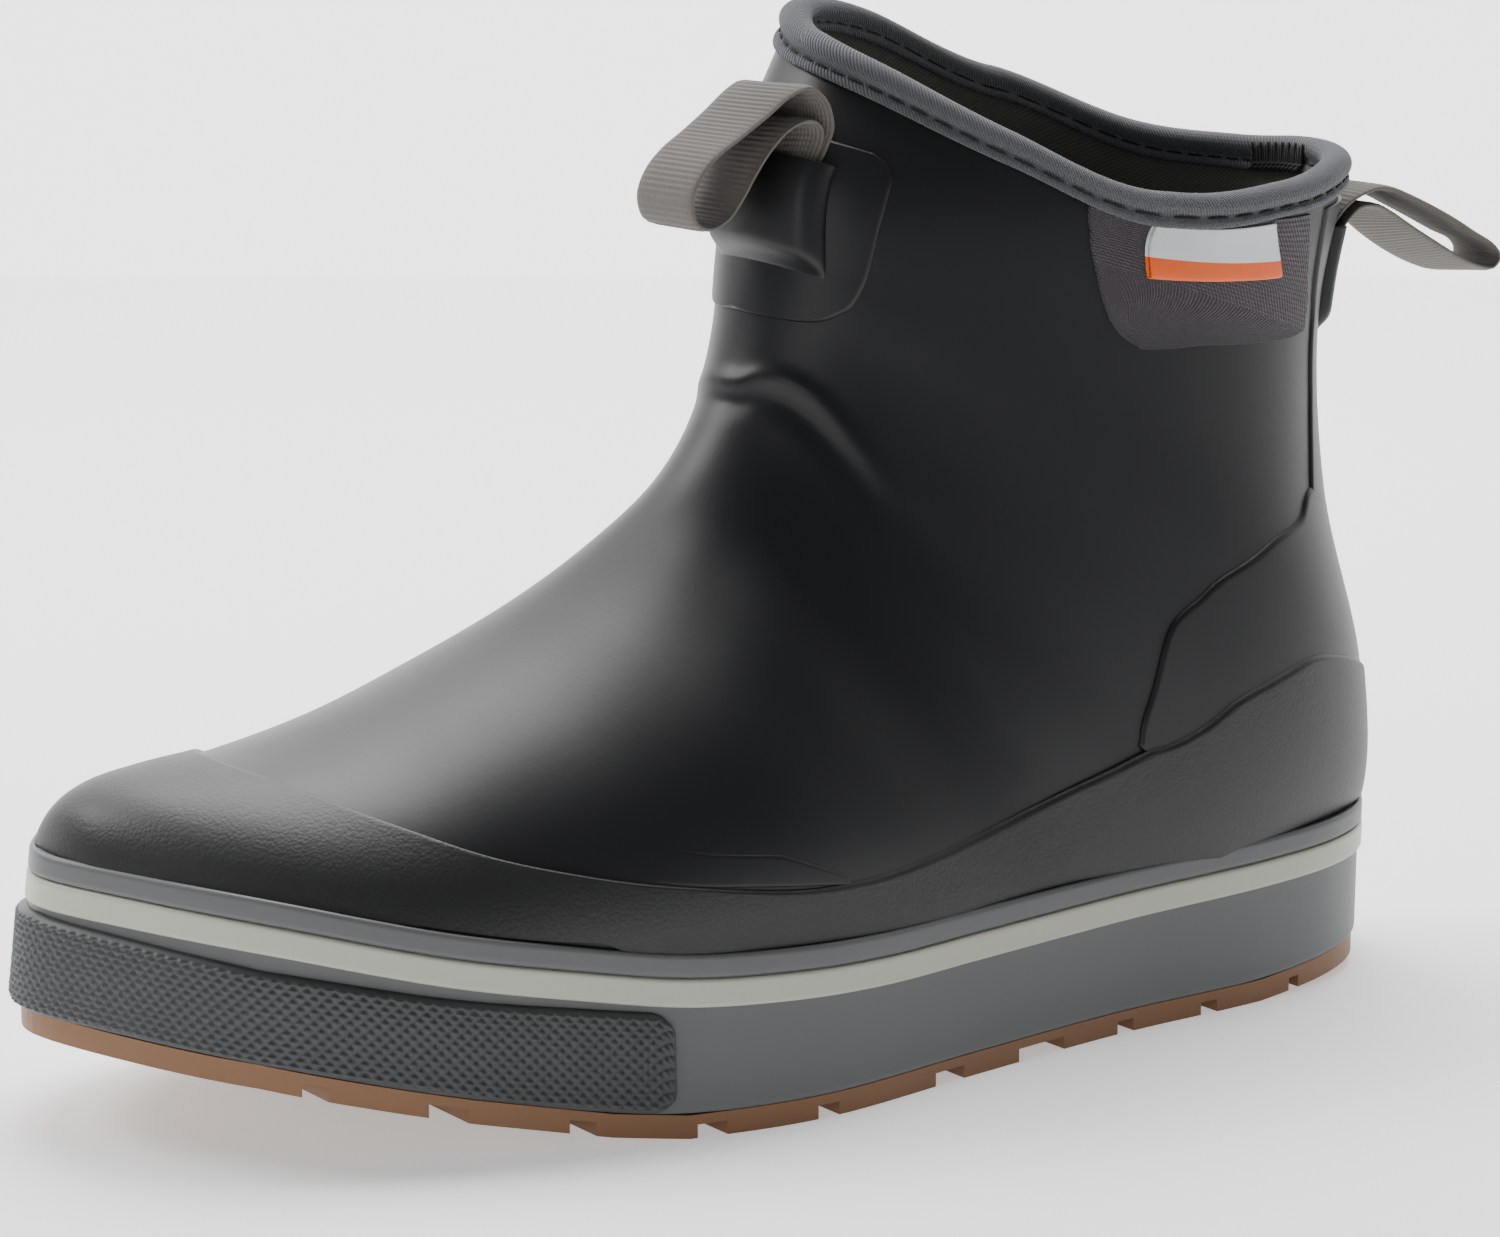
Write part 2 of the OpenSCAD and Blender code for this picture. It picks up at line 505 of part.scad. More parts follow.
// ---- collar ----
// Cross-section of the folded tape: [outward, up] from the collar line
ROLL_MIDDLE = -1.75;
ROLL_OUT = 3.3;
FLANGE = [1.1, 1.6];
TAPE_SECTION = concat(
  [[FLANGE[0], -tape_drop], [FLANGE[1], -tape_drop], [FLANGE[1], -2 * roll_r + 0.8]],
  [for (a = [-25:23:205]) [ROLL_MIDDLE + ROLL_OUT * cos(a), -roll_r + roll_r * sin(a)]],
  [[-5, -tape_drop], [-4.4, -tape_drop], [-4.4, -EDGE_DROP + 0.2], [FLANGE[0], -EDGE_DROP + 0.2]]
);
module collar_binding() color(TAPE)
  hoop([for (j = [0:RING_N - 1])
    [for (i = [len(TAPE_SECTION) - 1:-1:0])
      binding_point(360 * j / RING_N, TAPE_SECTION[i][0], TAPE_SECTION[i][1])]]);
// The row of stitches along the binding tape, one small solid each
STITCH_N = 60;
module binding_stitches() color("#242528")
  for (j = [0:STITCH_N - 1]) {
    p = binding_point(360 * (j + 0.2) / STITCH_N, FLANGE[1] + 0.4, 1.7 - tape_drop);
    q = binding_point(360 * (j + 0.8) / STITCH_N, FLANGE[1] + 0.4, 1.7 - tape_drop);
    d = q - p;
    translate((p + q) / 2)
      rotate([0, 0, atan2(d[1], d[0])])
        rotate([0, -atan2(d[2], norm([d[0], d[1]])), 0])
          cube([norm(d), 0.4, 0.6], center = true);
  }
// Woven label: a fixed seam under the tape and a flap that hangs from it
LABEL_FROM = 90;
LABEL_TO = 116;
module label_seam() color("white") {
  grid = function (out) [for (i = [0:5]) [for (up = [-tape_drop - 0.1, 1.2 - tape_drop])
    binding_point(mix(LABEL_FROM, LABEL_TO, i / 5), out, up)]];
  slab(grid(FLANGE[1] + 0.3), grid(FLANGE[1] + 0.1));
}
LABEL_CORNER = [32.3, 75.5, 157.1];
LABEL_TURN = 5.5;
label_t = 0.6;
module woven_label() color("white")
  translate(LABEL_CORNER - [0, 0, label_h])
    rotate([0, 0, LABEL_TURN])
      cube([label_t, label_l, label_h]);

// ---- inside ----
inner_d = lining_d + lining_wall;
board_gap = 0.45;
module toe_stiffener() color("#8a8a84")
  surface_patch([for (u = [1:0.5:4]) u], function (u) -80, function (u) 80, 16,
    inner_d + 0.25, inner_d + 1.25);
module heel_stiffener() color("#8a8a84")
  surface_patch([for (u = [12:0.5:13.5]) u], function (u) 120, function (u) 240, 12,
    inner_d + 0.25, inner_d + 1.25);
// The angle on section u at which the wall is h above the bottom point
function floor_angle(u, h) =
  let (
    i = min(floor(u), LAST - 2),
    f = u - i,
    s = mix(SECTIONS[i][5], SECTIONS[i + 1][5], f),
    n = mix(SECTIONS[i][7], SECTIONS[i + 1][7], f),
    length = mix(norm(SECTIONS[i][0] - SECTIONS[i][1]),
      norm(SECTIONS[i + 1][0] - SECTIONS[i + 1][1]), f),
    share = min(h / length, s * 0.98)
  ) 180 - acos(pow(1 - share / s, n / 2));
FLOOR_ROWS = [2.5, 3, 3.5, 4, 5, 6, 7, 8, 9, 10, 10.5, 11, 11.5];
FLOOR_COLS = 8;
// A plate on the floor of the foot: depths below and above the cloth, edge height
function floor_low(d, edge) = [for (u = FLOOR_ROWS) [for (j = [0:FLOOR_COLS])
  let (a = floor_angle(u, edge)) upper_point(u, mix(a, 360 - a, j / FLOOR_COLS), d)]];
module insole_board() color("#b9a27c")
  slab(floor_low(inner_d + board_gap, 4), floor_low(inner_d + board_gap + board_t, 4));
footbed_low = inner_d + board_gap + board_t + 0.1;
footbed_top = footbed_low + footbed_t;
module footbed() color("#4c5560")
  slab(floor_low(footbed_low, 7), floor_low(footbed_top, 7));
module footbed_topcloth() color("#2f3236")
  slab(floor_low(footbed_top + 0.02, 7), floor_low(footbed_top + topcloth_t, 7));

outsole();
midsole();
foxing_sidewall();
foxing_stripe();
foxing_top_band();
toe_bumper();
upper_shell();
toe_heel_guard();
vamp_reinforcement();
heel_counter();
back_strip();
kick_lug();
front_patch();
front_pocket();
front_loop_tail();
front_loop();
rear_patch();
rear_loop_tail();
rear_loop();
gore_panel();
collar_binding();
binding_stitches();
label_seam();
woven_label();
lining();
toe_stiffener();
heel_stiffener();
insole_board();
footbed();
footbed_topcloth();
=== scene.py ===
# %% [markdown]
# # A pull-on deck boot
# The CAD gives the boot's true size, its pieces and its joints. This lesson gives
# each piece the surface it has on the real boot: moulded rubber, ribbed tape, woven
# webbing, knit and gum. Lengths are in millimetres until a mesh is made.
# +Z is up, the toe points to -Y and the outer side of this left boot is +X.

import math

import bpy
import numpy as np
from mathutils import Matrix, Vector


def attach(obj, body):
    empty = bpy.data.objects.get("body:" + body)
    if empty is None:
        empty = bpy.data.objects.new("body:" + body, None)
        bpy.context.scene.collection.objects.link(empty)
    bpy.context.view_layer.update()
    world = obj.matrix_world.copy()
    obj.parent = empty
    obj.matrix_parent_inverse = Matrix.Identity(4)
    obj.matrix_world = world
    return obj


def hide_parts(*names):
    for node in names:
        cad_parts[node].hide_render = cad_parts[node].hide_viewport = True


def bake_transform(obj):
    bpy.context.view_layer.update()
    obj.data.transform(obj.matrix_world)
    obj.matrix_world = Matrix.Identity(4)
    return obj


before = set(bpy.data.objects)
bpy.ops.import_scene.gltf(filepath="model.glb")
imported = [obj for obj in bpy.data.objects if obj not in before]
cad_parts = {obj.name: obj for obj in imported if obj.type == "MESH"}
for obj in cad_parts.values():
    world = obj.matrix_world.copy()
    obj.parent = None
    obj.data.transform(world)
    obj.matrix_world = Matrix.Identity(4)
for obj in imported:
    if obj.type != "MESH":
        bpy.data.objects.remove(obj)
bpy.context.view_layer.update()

# %% [markdown]
# ## Curves
# A shoemaker's last is smooth in every direction, so every curve here is a
# Catmull-Rom spline: it goes through each stated point with no flat facets.

# %% Curve helpers
def blend4(a, b, c, d, f):
    """The spline between b and c, at share f."""
    return 0.5 * (2 * b + (c - a) * f + (2 * a - 5 * b + 4 * c - d) * f**2
                  + (3 * b - a - 3 * c + d) * f**3)


def round_curve(table, k):
    """A closed spline through the table's points, at steps k."""
    table, k = np.array(table, float), np.asarray(k, float)
    i = np.floor(k).astype(int)
    f = (k - i).reshape(k.shape + (1,) * (table.ndim - 1))
    n = len(table)
    return blend4(*(table[(i + j) % n] for j in (-1, 0, 1, 2)), f)


def open_curve(table, per_step):
    """An open spline through the table's points, per_step places to each step."""
    t = np.array(table, float)
    t = np.vstack([2 * t[0] - t[1], t, 2 * t[-1] - t[-2]])
    k = np.linspace(1, len(t) - 2, (len(t) - 3) * per_step + 1)
    i = np.minimum(k.astype(int), len(t) - 3)
    return blend4(t[i - 1], t[i], t[i + 1], t[i + 2], (k - i)[:, None])


def look(x, table):
    """Straight-line lookup in a table of pairs."""
    t = np.array(table, float)
    return np.interp(x, t[:, 0], t[:, 1])


def signed_power(v, p):
    return np.sign(v) * np.abs(v) ** p


def packed(n, share=0.9):
    """n places from 0 to 1, close together at both ends."""
    x = np.linspace(0, 1, n)
    return x - share * np.sin(2 * np.pi * x) / (2 * np.pi)


def rounded(distance, radius):
    """Height of a rounded edge, 0 to 1, at a distance in from it."""
    t = np.clip(np.asarray(distance) / radius, 0, 1)
    return np.sqrt(1 - (1 - t) ** 2)


# %% [markdown]
# ## The last
# The upper is a fan of sections, from the toe, round the instep, to the collar.
# `upper_point(u, a, d)` gives a point on row u, a degrees round from the front,
# d deep in the wall. These are the same numbers as the CAD's.

# %% The upper's surface
SECTIONS = np.array([
    [-144.5, 48, -144.5, 42, 5, 5, -10, 0.5, 2, 2],
    [-143.5, 53, -142.5, 34, 10.5, 11.5, -10, 0.5, 2.1, 2.2],
    [-140, 60, -139, 28, 18, 17, -9.5, 0.45, 2.1, 2.5],
    [-132.5, 64, -131.5, 24, 29.5, 26, -8, 0.42, 2.1, 2.9],
    [-121, 66, -120, 20, 39.5, 35, -6, 0.42, 2.1, 3.2],
    [-104, 68, -102, 17, 48, 43, -4, 0.42, 2.1, 3.4],
    [-83, 74, -80, 14, 52.5, 47.5, -2, 0.4, 2, 3.6],
    [-61, 83, -50, 12.5, 58.5, 49, -1, 0.38, 2, 3.6],
    [-44, 92.5, -15, 12, 59.5, 43.5, 0, 0.36, 2, 3.6],
    [-30, 102.5, 22, 12, 53, 38, 1, 0.33, 2, 3.4],
    [-19, 112, 65, 12, 43.5, 36, 2, 0.34, 2, 3.2],
    [-11, 122, 112, 13, 41, 39, 2, 0.38, 2, 2.8],
    [-6, 132, 144.5, 27, 39.5, 39.5, 1, 0.42, 2.1, 2.3],
    [-2.5, 142, 149.5, 58, 37, 36.5, 0, 0.45, 2.2, 2.2],
    [0.5, 155, 140.5, 97, 34, 33.5, -1, 0.48, 2.4, 2.2],
    [4, 172, 139.5, 134, 32, 32, -2, 0.5, 2.5, 2.2],
])
TOE_SHIFT = np.array([1, 0.95, 0.8, 0.55, 0.3, 0.12, 0.04] + [0] * 9)
LAST = len(SECTIONS)
COLLAR_Z = [198, 191, 179, 165.5, 165.5, 169, 171, 171, 174.5, 187, 200, 203]
EDGE_DROP = 4
RUBBER_T, SOCK_GAP, SOCK_T, LAYER_T = 2.2, 0.1, 1.3, 0.75


def section_point(i, a, d):
    s = SECTIONS[i]
    front, back = s[..., 0:2], s[..., 2:4]
    along = front - back
    along = along / np.linalg.norm(along, axis=-1, keepdims=True)
    front, back = front - along * d[..., None], back + along * d[..., None]
    c = np.cos(np.radians(a))
    n = np.where(c >= 0, s[..., 8], s[..., 9])
    up = signed_power(c, 2 / n)
    across = signed_power(np.sin(np.radians(a)), 2 / n)
    share = np.where(c >= 0, s[..., 7] + (1 - s[..., 7]) * up, s[..., 7] * (1 + up))
    p = back + (front - back) * share[..., None]
    w = np.where(across >= 0, s[..., 4], s[..., 5]) - d
    return np.stack([s[..., 6] + w * across, p[..., 0] + d * TOE_SHIFT[i], p[..., 1]], -1)


def collar_point(a, d, drop):
    a = np.asarray(a, float)
    r = np.radians(a)
    return np.stack([
        -2 + (31 - d) * signed_power(np.sin(r), 0.87),
        81.2 - (64.8 - d) * signed_power(np.cos(r), 0.87),
        round_curve(COLLAR_Z, a / 30) - drop + 0 * d], -1)


def row_point(i, a, d):
    first = section_point(np.zeros_like(i), a, d)
    second = section_point(np.ones_like(i), a, d)
    below = section_point(np.full_like(i, LAST - 1), a, d)
    edge = collar_point(a, d, EDGE_DROP)
    inside = section_point(np.clip(i, 0, LAST - 1), a, d)
    k = i[..., None]
    return np.where(k < 0, 2 * first - second, np.where(
        k < LAST, inside, np.where(k == LAST, edge, 2 * edge - below)))


def upper_point(u, a, d):
    u, a, d = np.broadcast_arrays(*(np.asarray(v, float) for v in (u, a, d)))
    i = np.minimum(np.floor(u).astype(int), LAST - 1)
    return blend4(*(row_point(i + j, a, d) for j in (-1, 0, 1, 2)), (u - i)[..., None])


print("collar front:", upper_point(16, 0, 0).round(1))

# %% [markdown]
# The sole has its own outline, seen from above, and its own side profile. A strip
# round it is placed by how far round, how high and how deep it lies.

# %% The sole's outline and side profile
PLAN = [
    [0, 150], [22, 140], [34.5, 125], [41.5, 100], [46, 60], [54, 20], [62.5, -20],
    [60.5, -50], [54, -80], [46.5, -105], [34.5, -125], [15, -140], [-10, -150],
    [-30, -142], [-40, -130], [-50, -105], [-53, -80], [-52, -50], [-46, -20],
    [-38, 20], [-36, 60], [-37.5, 98], [-31.5, 124], [-20, 139.5],
]
BOTTOM_Z = [[-150, 19], [-125, 15], [-90, 7], [-65, 2], [-50, 0], [100, 0], [150, 3.3]]
FOXING_Z = [[-150, 53], [-125, 50], [-90, 41.6], [-50, 34.6], [0, 32.5], [50, 32.8],
            [100, 33.8], [150, 35.1]]
LEAN = [[-150, 4], [-125, 2.6], [-90, 1.6], [100, 1.4], [135, 0], [150, -1.3]]
OUTSOLE_T, STRIPE_H, TOP_BAND_H = 4.5, 5.5, 4.5


def soft_look(y, table):
    """Lookup with its corners eased over a few millimetres."""
    return sum(look(y + s, table) for s in (-9, -6, -3, 0, 3, 6, 9)) / 7


def plan_point(k, d):
    t = round_curve(PLAN, k + 0.02) - round_curve(PLAN, k - 0.02)
    t = t / np.linalg.norm(t, axis=-1, keepdims=True)
    return round_curve(PLAN, k) + np.stack([t[..., 1], -t[..., 0]], -1) * np.asarray(d)[..., None]


def wall_height(k):
    y = plan_point(k, 0 * k)[..., 1]
    return soft_look(y, FOXING_Z) - soft_look(y, BOTTOM_Z)


def wall_point(k, h, d):
    k, h, d = np.broadcast_arrays(*(np.asarray(v, float) for v in (k, h, d)))
    y = plan_point(k, 0 * k)[..., 1]
    p = plan_point(k, d + soft_look(y, LEAN) * h / wall_height(k))
    return np.concatenate([p, (soft_look(y, BOTTOM_Z) + h)[..., None]], -1)


# %% [markdown]
# ## Making meshes
# Almost every piece of a boot is a sheet with two faces, so one maker turns two
# facing grids of points into a closed solid sheet and gives it a map in
# millimetres, which the woven and ribbed finishes follow.

# %% Mesh makers
def grid_uv(grid, around):
    """Arc length in mm along the columns and down the rows."""
    g = np.concatenate([grid, grid[:, :1]], 1) if around else grid
    across = np.linalg.norm(np.diff(g, axis=1), axis=2).mean(0)
    down = np.linalg.norm(np.diff(grid, axis=0), axis=2).mean(1)
    u, v = np.concatenate([[0], np.cumsum(across)]), np.concatenate([[0], np.cumsum(down)])
    return np.stack(np.broadcast_arrays(u[None, :], v[:, None]), -1)


def skin(name, outer, inner, around=False, uv=None):
    """A closed sheet between two facing grids of points. around joins the columns up."""
    m, n = outer.shape[:2]
    uv = grid_uv(outer, around) if uv is None else uv
    points = np.concatenate([outer.reshape(-1, 3), inner.reshape(-1, 3)]) * 0.001
    cols = n if around else n - 1
    i, j = (v.ravel() for v in np.meshgrid(np.arange(m - 1), np.arange(cols), indexing="ij"))
    k = (j + 1) % n
    quads = [np.stack([i * n + j, i * n + k, (i + 1) * n + k, (i + 1) * n + j], 1)]
    maps = [np.stack([uv[i, j], uv[i, j + 1], uv[i + 1, j + 1], uv[i + 1, j]], 1)]
    base = m * n
    quads.append(quads[0][:, ::-1] + base)
    maps.append(maps[0][:, ::-1])

    def rim(p, q, p_map, q_map, turned):
        """Joins the two faces along one edge of the sheet, from points p to points q."""
        quad = np.stack([p, q, base + q, base + p], 1)
        corners = np.stack([p_map, q_map, q_map, p_map], 1)
        quads.append(quad[:, ::-1] if turned else quad)
        maps.append(corners[:, ::-1] if turned else corners)

    c = np.arange(cols)
    for row, turned in ((0, True), (m - 1, False)):
        rim(row * n + c, row * n + (c + 1) % n, uv[row, c], uv[row, c + 1], turned)
    if not around:
        r = np.arange(m - 1)
        for col, turned in ((0, False), (n - 1, True)):
            rim(r * n + col, (r + 1) * n + col, uv[r, col], uv[r + 1, col], turned)
    return solid(name, points, np.concatenate(quads), np.concatenate(maps))


def solid(name, points, quads, maps=None):
    """A mesh object from quads, turned so that its faces look outward."""
    a, b, c, d = (points[quads[:, i]] for i in range(4))
    volume = (np.einsum("ij,ij->i", a, np.cross(b, c)) + np.einsum("ij,ij->i", a, np.cross(c, d))).sum()
    if volume < 0:
        quads = quads[:, ::-1]
        maps = None if maps is None else maps[:, ::-1]
    mesh = bpy.data.meshes.new(name)
    mesh.from_pydata(points.tolist(), [], quads.tolist())
    mesh.polygons.foreach_set("use_smooth", np.ones(len(quads), bool))
    if maps is not None:
        layer = mesh.uv_layers.new(name="mm")
        layer.data.foreach_set("uv", maps.reshape(-1).astype(np.float32))
    mesh.validate()
    piece = bpy.data.objects.new(name, mesh)
    bpy.context.scene.collection.objects.link(piece)
    return piece


def edge_distance(grid, ends=(True, True)):
    """Distance in mm of every grid point from the grid's nearest edge."""
    across = np.linalg.norm(np.diff(grid, axis=1), axis=2)
    left = np.concatenate([np.zeros((len(grid), 1)), np.cumsum(across, 1)], 1)
    sides = np.minimum(left, left[:, -1:] - left)
    down = np.linalg.norm(np.diff(grid, axis=0), axis=2)
    top = np.concatenate([np.zeros((1, grid.shape[1])), np.cumsum(down, 0)], 0)
    far = top[-1:] - top
    for use, way in zip(ends, (top, far)):
        if use:
            sides = np.minimum(sides, way)
    return sides


def to_last_row(grid):
    """Distance in mm down each column from every grid point to the last row."""
    steps = np.linalg.norm(np.diff(grid, axis=0), axis=2)
    return np.concatenate([np.cumsum(steps[::-1], 0)[::-1], np.zeros((1, grid.shape[1]))])


def overlay(name, rows, left, right, base, thick, edge=0.9, shape=(60, 80), ends=(True, True)):
    """A sheet laid on the upper between two edges, its rim rounded over."""
    u = (rows[0] + (rows[1] - rows[0]) * packed(shape[0]))[:, None]
    a = left(u) + (right(u) - left(u)) * packed(shape[1])[None, :]
    thick = thick(u) if callable(thick) else thick
    height = thick * rounded(edge_distance(upper_point(u, a, 0), ends), edge)
    return skin(name, upper_point(u, a, -base - height), upper_point(u, a, -base + 0.3))


def pill(start, end, radius, ring=8):
    """One short thread with rounded ends, as rings of points round start to end."""
    start, end = np.array(start, float), np.array(end, float)
    along = (end - start) / np.linalg.norm(end - start)
    side = np.cross(along, [0.0, 0.0, 1.0])
    side = side / np.linalg.norm(side)
    up = np.cross(side, along)
    turn = np.linspace(0, 2 * np.pi, ring, endpoint=False)
    rings = []
    for f, r in ((0, 0.15), (0.08, 0.75), (0.25, 1), (0.75, 1), (0.92, 0.75), (1, 0.15)):
        middle = start + (end - start) * f
        rings.append(middle + radius * r * (np.cos(turn)[:, None] * side + np.sin(turn)[:, None] * up))
    return np.array(rings)


def join_pills(name, pills):
    """Many threads in one mesh."""
    points, quads, at = [], [], 0
    for p in pills:
        m, n = p.shape[:2]
        i, j = (v.ravel() for v in np.meshgrid(np.arange(m - 1), np.arange(n), indexing="ij"))
        k = (j + 1) % n
        quads.append(at + np.stack([i * n + j, i * n + k, (i + 1) * n + k, (i + 1) * n + j], 1))
        for row, flip in ((0, True), (m - 1, False)):
            s = at + row * n
            for q in range(n // 2 - 1):
                cap = [s + q, s + q + 1, s + n - 2 - q, s + n - 1 - q]
                quads.append(np.array([cap[::-1] if flip else cap]))
        points.append(p.reshape(-1, 3))
        at += m * n
    return solid(name, np.concatenate(points) * 0.001, np.concatenate(quads))


# %% [markdown]
# ## Finishes
# Three effects are shared: fine unevenness (moulded rubber is never optically flat),
# pebble grain (the mould is acid-etched there) and ribs (tape, webbing and knit are
# rows of yarn; the ribs also give painted shade, a darker cloth colour in the troughs
# between them). Each is a node group; each finish then picks its own amounts.

# %% Shared effects
def new_group(name, inputs, outputs):
    group = bpy.data.node_groups.new(name, "ShaderNodeTree")
    for label, kind, value in inputs:
        socket = group.interface.new_socket(label, in_out="INPUT", socket_type=kind)
        if value is not None:
            socket.default_value = value
    for label, kind in outputs:
        group.interface.new_socket(label, in_out="OUTPUT", socket_type=kind)
    return group, group.nodes.new("NodeGroupInput"), group.nodes.new("NodeGroupOutput")


def maths(group, operation, a, b=None):
    node = group.nodes.new("ShaderNodeMath")
    node.operation = operation
    for socket, value in zip(node.inputs, (a, b)):
        if isinstance(value, (int, float)):
            socket.default_value = value
        elif value is not None:
            group.links.new(value, socket)
    return node.outputs[0]


def noise(group, vector, scale, detail=4, roughness=0.55):
    node = group.nodes.new("ShaderNodeTexNoise")
    node.inputs["Detail"].default_value = detail
    node.inputs["Roughness"].default_value = roughness
    if isinstance(scale, (int, float)):
        node.inputs["Scale"].default_value = scale
    else:
        group.links.new(scale, node.inputs["Scale"])
    group.links.new(vector, node.inputs["Vector"])
    return node.outputs["Fac"]


FLOAT, VECTOR = "NodeSocketFloat", "NodeSocketVector"

moulded, g_in, g_out = new_group(
    "Moulded unevenness",
    [("Place", VECTOR, None), ("Fine scale", FLOAT, 900.0), ("Roughness", FLOAT, 0.45),
     ("Spread", FLOAT, 0.08)],
    [("Height", FLOAT), ("Roughness", FLOAT)])
fine = noise(moulded, g_in.outputs["Place"], g_in.outputs["Fine scale"], 3)
broad = noise(moulded, g_in.outputs["Place"], 38.0, 3)
moulded.links.new(maths(moulded, "ADD", fine, maths(moulded, "MULTIPLY", broad, 1.5)),
                  g_out.inputs["Height"])
swing = maths(moulded, "MULTIPLY", maths(moulded, "SUBTRACT", broad, 0.5), g_in.outputs["Spread"])
moulded.links.new(maths(moulded, "ADD", g_in.outputs["Roughness"], swing), g_out.inputs["Roughness"])

pebble, g_in, g_out = new_group(
    "Pebble grain", [("Place", VECTOR, None), ("Scale", FLOAT, 700.0)], [("Height", FLOAT)])
cells = pebble.nodes.new("ShaderNodeTexVoronoi")
cells.feature = "SMOOTH_F1"
cells.inputs["Smoothness"].default_value = 0.35
pebble.links.new(g_in.outputs["Place"], cells.inputs["Vector"])
pebble.links.new(g_in.outputs["Scale"], cells.inputs["Scale"])
uneven = noise(pebble, g_in.outputs["Place"], 260.0, 3)
pebble.links.new(maths(pebble, "ADD", maths(pebble, "MULTIPLY", cells.outputs["Distance"], -1.0),
                       maths(pebble, "MULTIPLY", uneven, 0.8)), g_out.inputs["Height"])

ribs, g_in, g_out = new_group(
    "Yarn ribs",
    [("Map", VECTOR, None), ("Pitch across", FLOAT, 0.8), ("Pitch down", FLOAT, 0.5),
     ("Cross share", FLOAT, 0.3), ("Slant", FLOAT, 0.0)],
    [("Height", FLOAT), ("Shade", FLOAT)])
split = ribs.nodes.new("ShaderNodeSeparateXYZ")
ribs.links.new(g_in.outputs["Map"], split.inputs[0])


def wave(position, pitch):
    turns = maths(ribs, "MULTIPLY", maths(ribs, "DIVIDE", position, pitch), 2 * math.pi)
    return maths(ribs, "ADD", maths(ribs, "MULTIPLY", maths(ribs, "SINE", turns), 0.5), 0.5)


slanted = maths(ribs, "ADD", split.outputs[0],
                maths(ribs, "MULTIPLY", split.outputs[1], g_in.outputs["Slant"]))
rib_wave = wave(slanted, g_in.outputs["Pitch across"])
pick_wave = wave(split.outputs[1], g_in.outputs["Pitch down"])
rib_height = maths(ribs, "ADD", rib_wave, maths(ribs, "MULTIPLY", pick_wave, g_in.outputs["Cross share"]))
ribs.links.new(rib_height, g_out.inputs["Height"])
# Shade is painted shade: darker in the troughs between ribs and lighter on their crests, with random tone
# from noise.
fluff = noise(ribs, g_in.outputs["Map"], 1.3, 4)
ribs.links.new(maths(ribs, "MULTIPLY", maths(ribs, "ADD", rib_wave, 0.6), maths(ribs, "ADD", fluff, 0.35)),
               g_out.inputs["Shade"])
print("effects:", [g.name for g in (moulded, pebble, ribs)])


# %% [markdown]
# Each finish is one Principled shader. Rubber, grained rubber and cloth have a maker
# each, so that a finish is then one line of colours and amounts.

# %% Finish maker
def srgb(r, g, b):
    return tuple((c / 255 / 12.92) if c <= 10 else ((c / 255 + 0.055) / 1.055) ** 2.4
                 for c in (r, g, b)) + (1.0,)


def finish(name, colour, roughness, specular=0.5):
    mat = bpy.data.materials.new(name)
    mat.use_nodes = True
    tree = mat.node_tree
    shader = tree.nodes["Principled BSDF"]
    shader.inputs["Base Color"].default_value = colour
    shader.inputs["Roughness"].default_value = roughness
    shader.inputs["Specular IOR Level"].default_value = specular
    place = tree.nodes.new("ShaderNodeTexCoord")
    return mat, tree, shader, place


def add_group(tree, group, place, **values):
    node = tree.nodes.new("ShaderNodeGroup")
    node.node_tree = group
    tree.links.new(place, node.inputs[0])
    for label, value in values.items():
        node.inputs[label.replace("_", " ")].default_value = value
    return node


def bump(tree, shader, height, distance, strength=1.0):
    node = tree.nodes.new("ShaderNodeBump")
    node.inputs["Distance"].default_value = distance
    node.inputs["Strength"].default_value = strength
    tree.links.new(height, node.inputs["Height"])
    tree.links.new(node.outputs[0], shader.inputs["Normal"])


def rubber(name, colour, roughness, spread=0.08, depth=0.00002, specular=0.5, scale=900.0):
    mat, tree, shader, place = finish(name, colour, roughness, specular)
    effect = add_group(tree, moulded, place.outputs["Object"], Fine_scale=scale,
                       Roughness=roughness, Spread=spread)
    tree.links.new(effect.outputs["Roughness"], shader.inputs["Roughness"])
    bump(tree, shader, effect.outputs["Height"], depth)
    return mat


def grained(name, colour, roughness, scale, depth):
    mat, tree, shader, place = finish(name, colour, roughness)
    effect = add_group(tree, pebble, place.outputs["Object"], Scale=scale)
    bump(tree, shader, effect.outputs["Height"], depth)
    return mat


def cloth(name, dark, light, pitch, depth, cross=0.3, slant=0.0, roughness=0.8, sheen=0.15):
    mat, tree, shader, place = finish(name, light, roughness, 0.25)
    shader.inputs["Sheen Weight"].default_value = sheen
    effect = add_group(tree, ribs, place.outputs["UV"], Pitch_across=pitch[0],
                       Pitch_down=pitch[1], Cross_share=cross, Slant=slant)
    # The dark colour paints shade into the rib troughs and the light colour goes on the crests, with random
    # tone from noise.
    mix = tree.nodes.new("ShaderNodeMix")
    mix.data_type = "RGBA"
    mix.inputs["A"].default_value = dark
    mix.inputs["B"].default_value = light
    tree.links.new(effect.outputs["Shade"], mix.inputs["Factor"])
    tree.links.new(mix.outputs["Result"], shader.inputs["Base Color"])
    bump(tree, shader, effect.outputs["Height"], depth)
    return mat


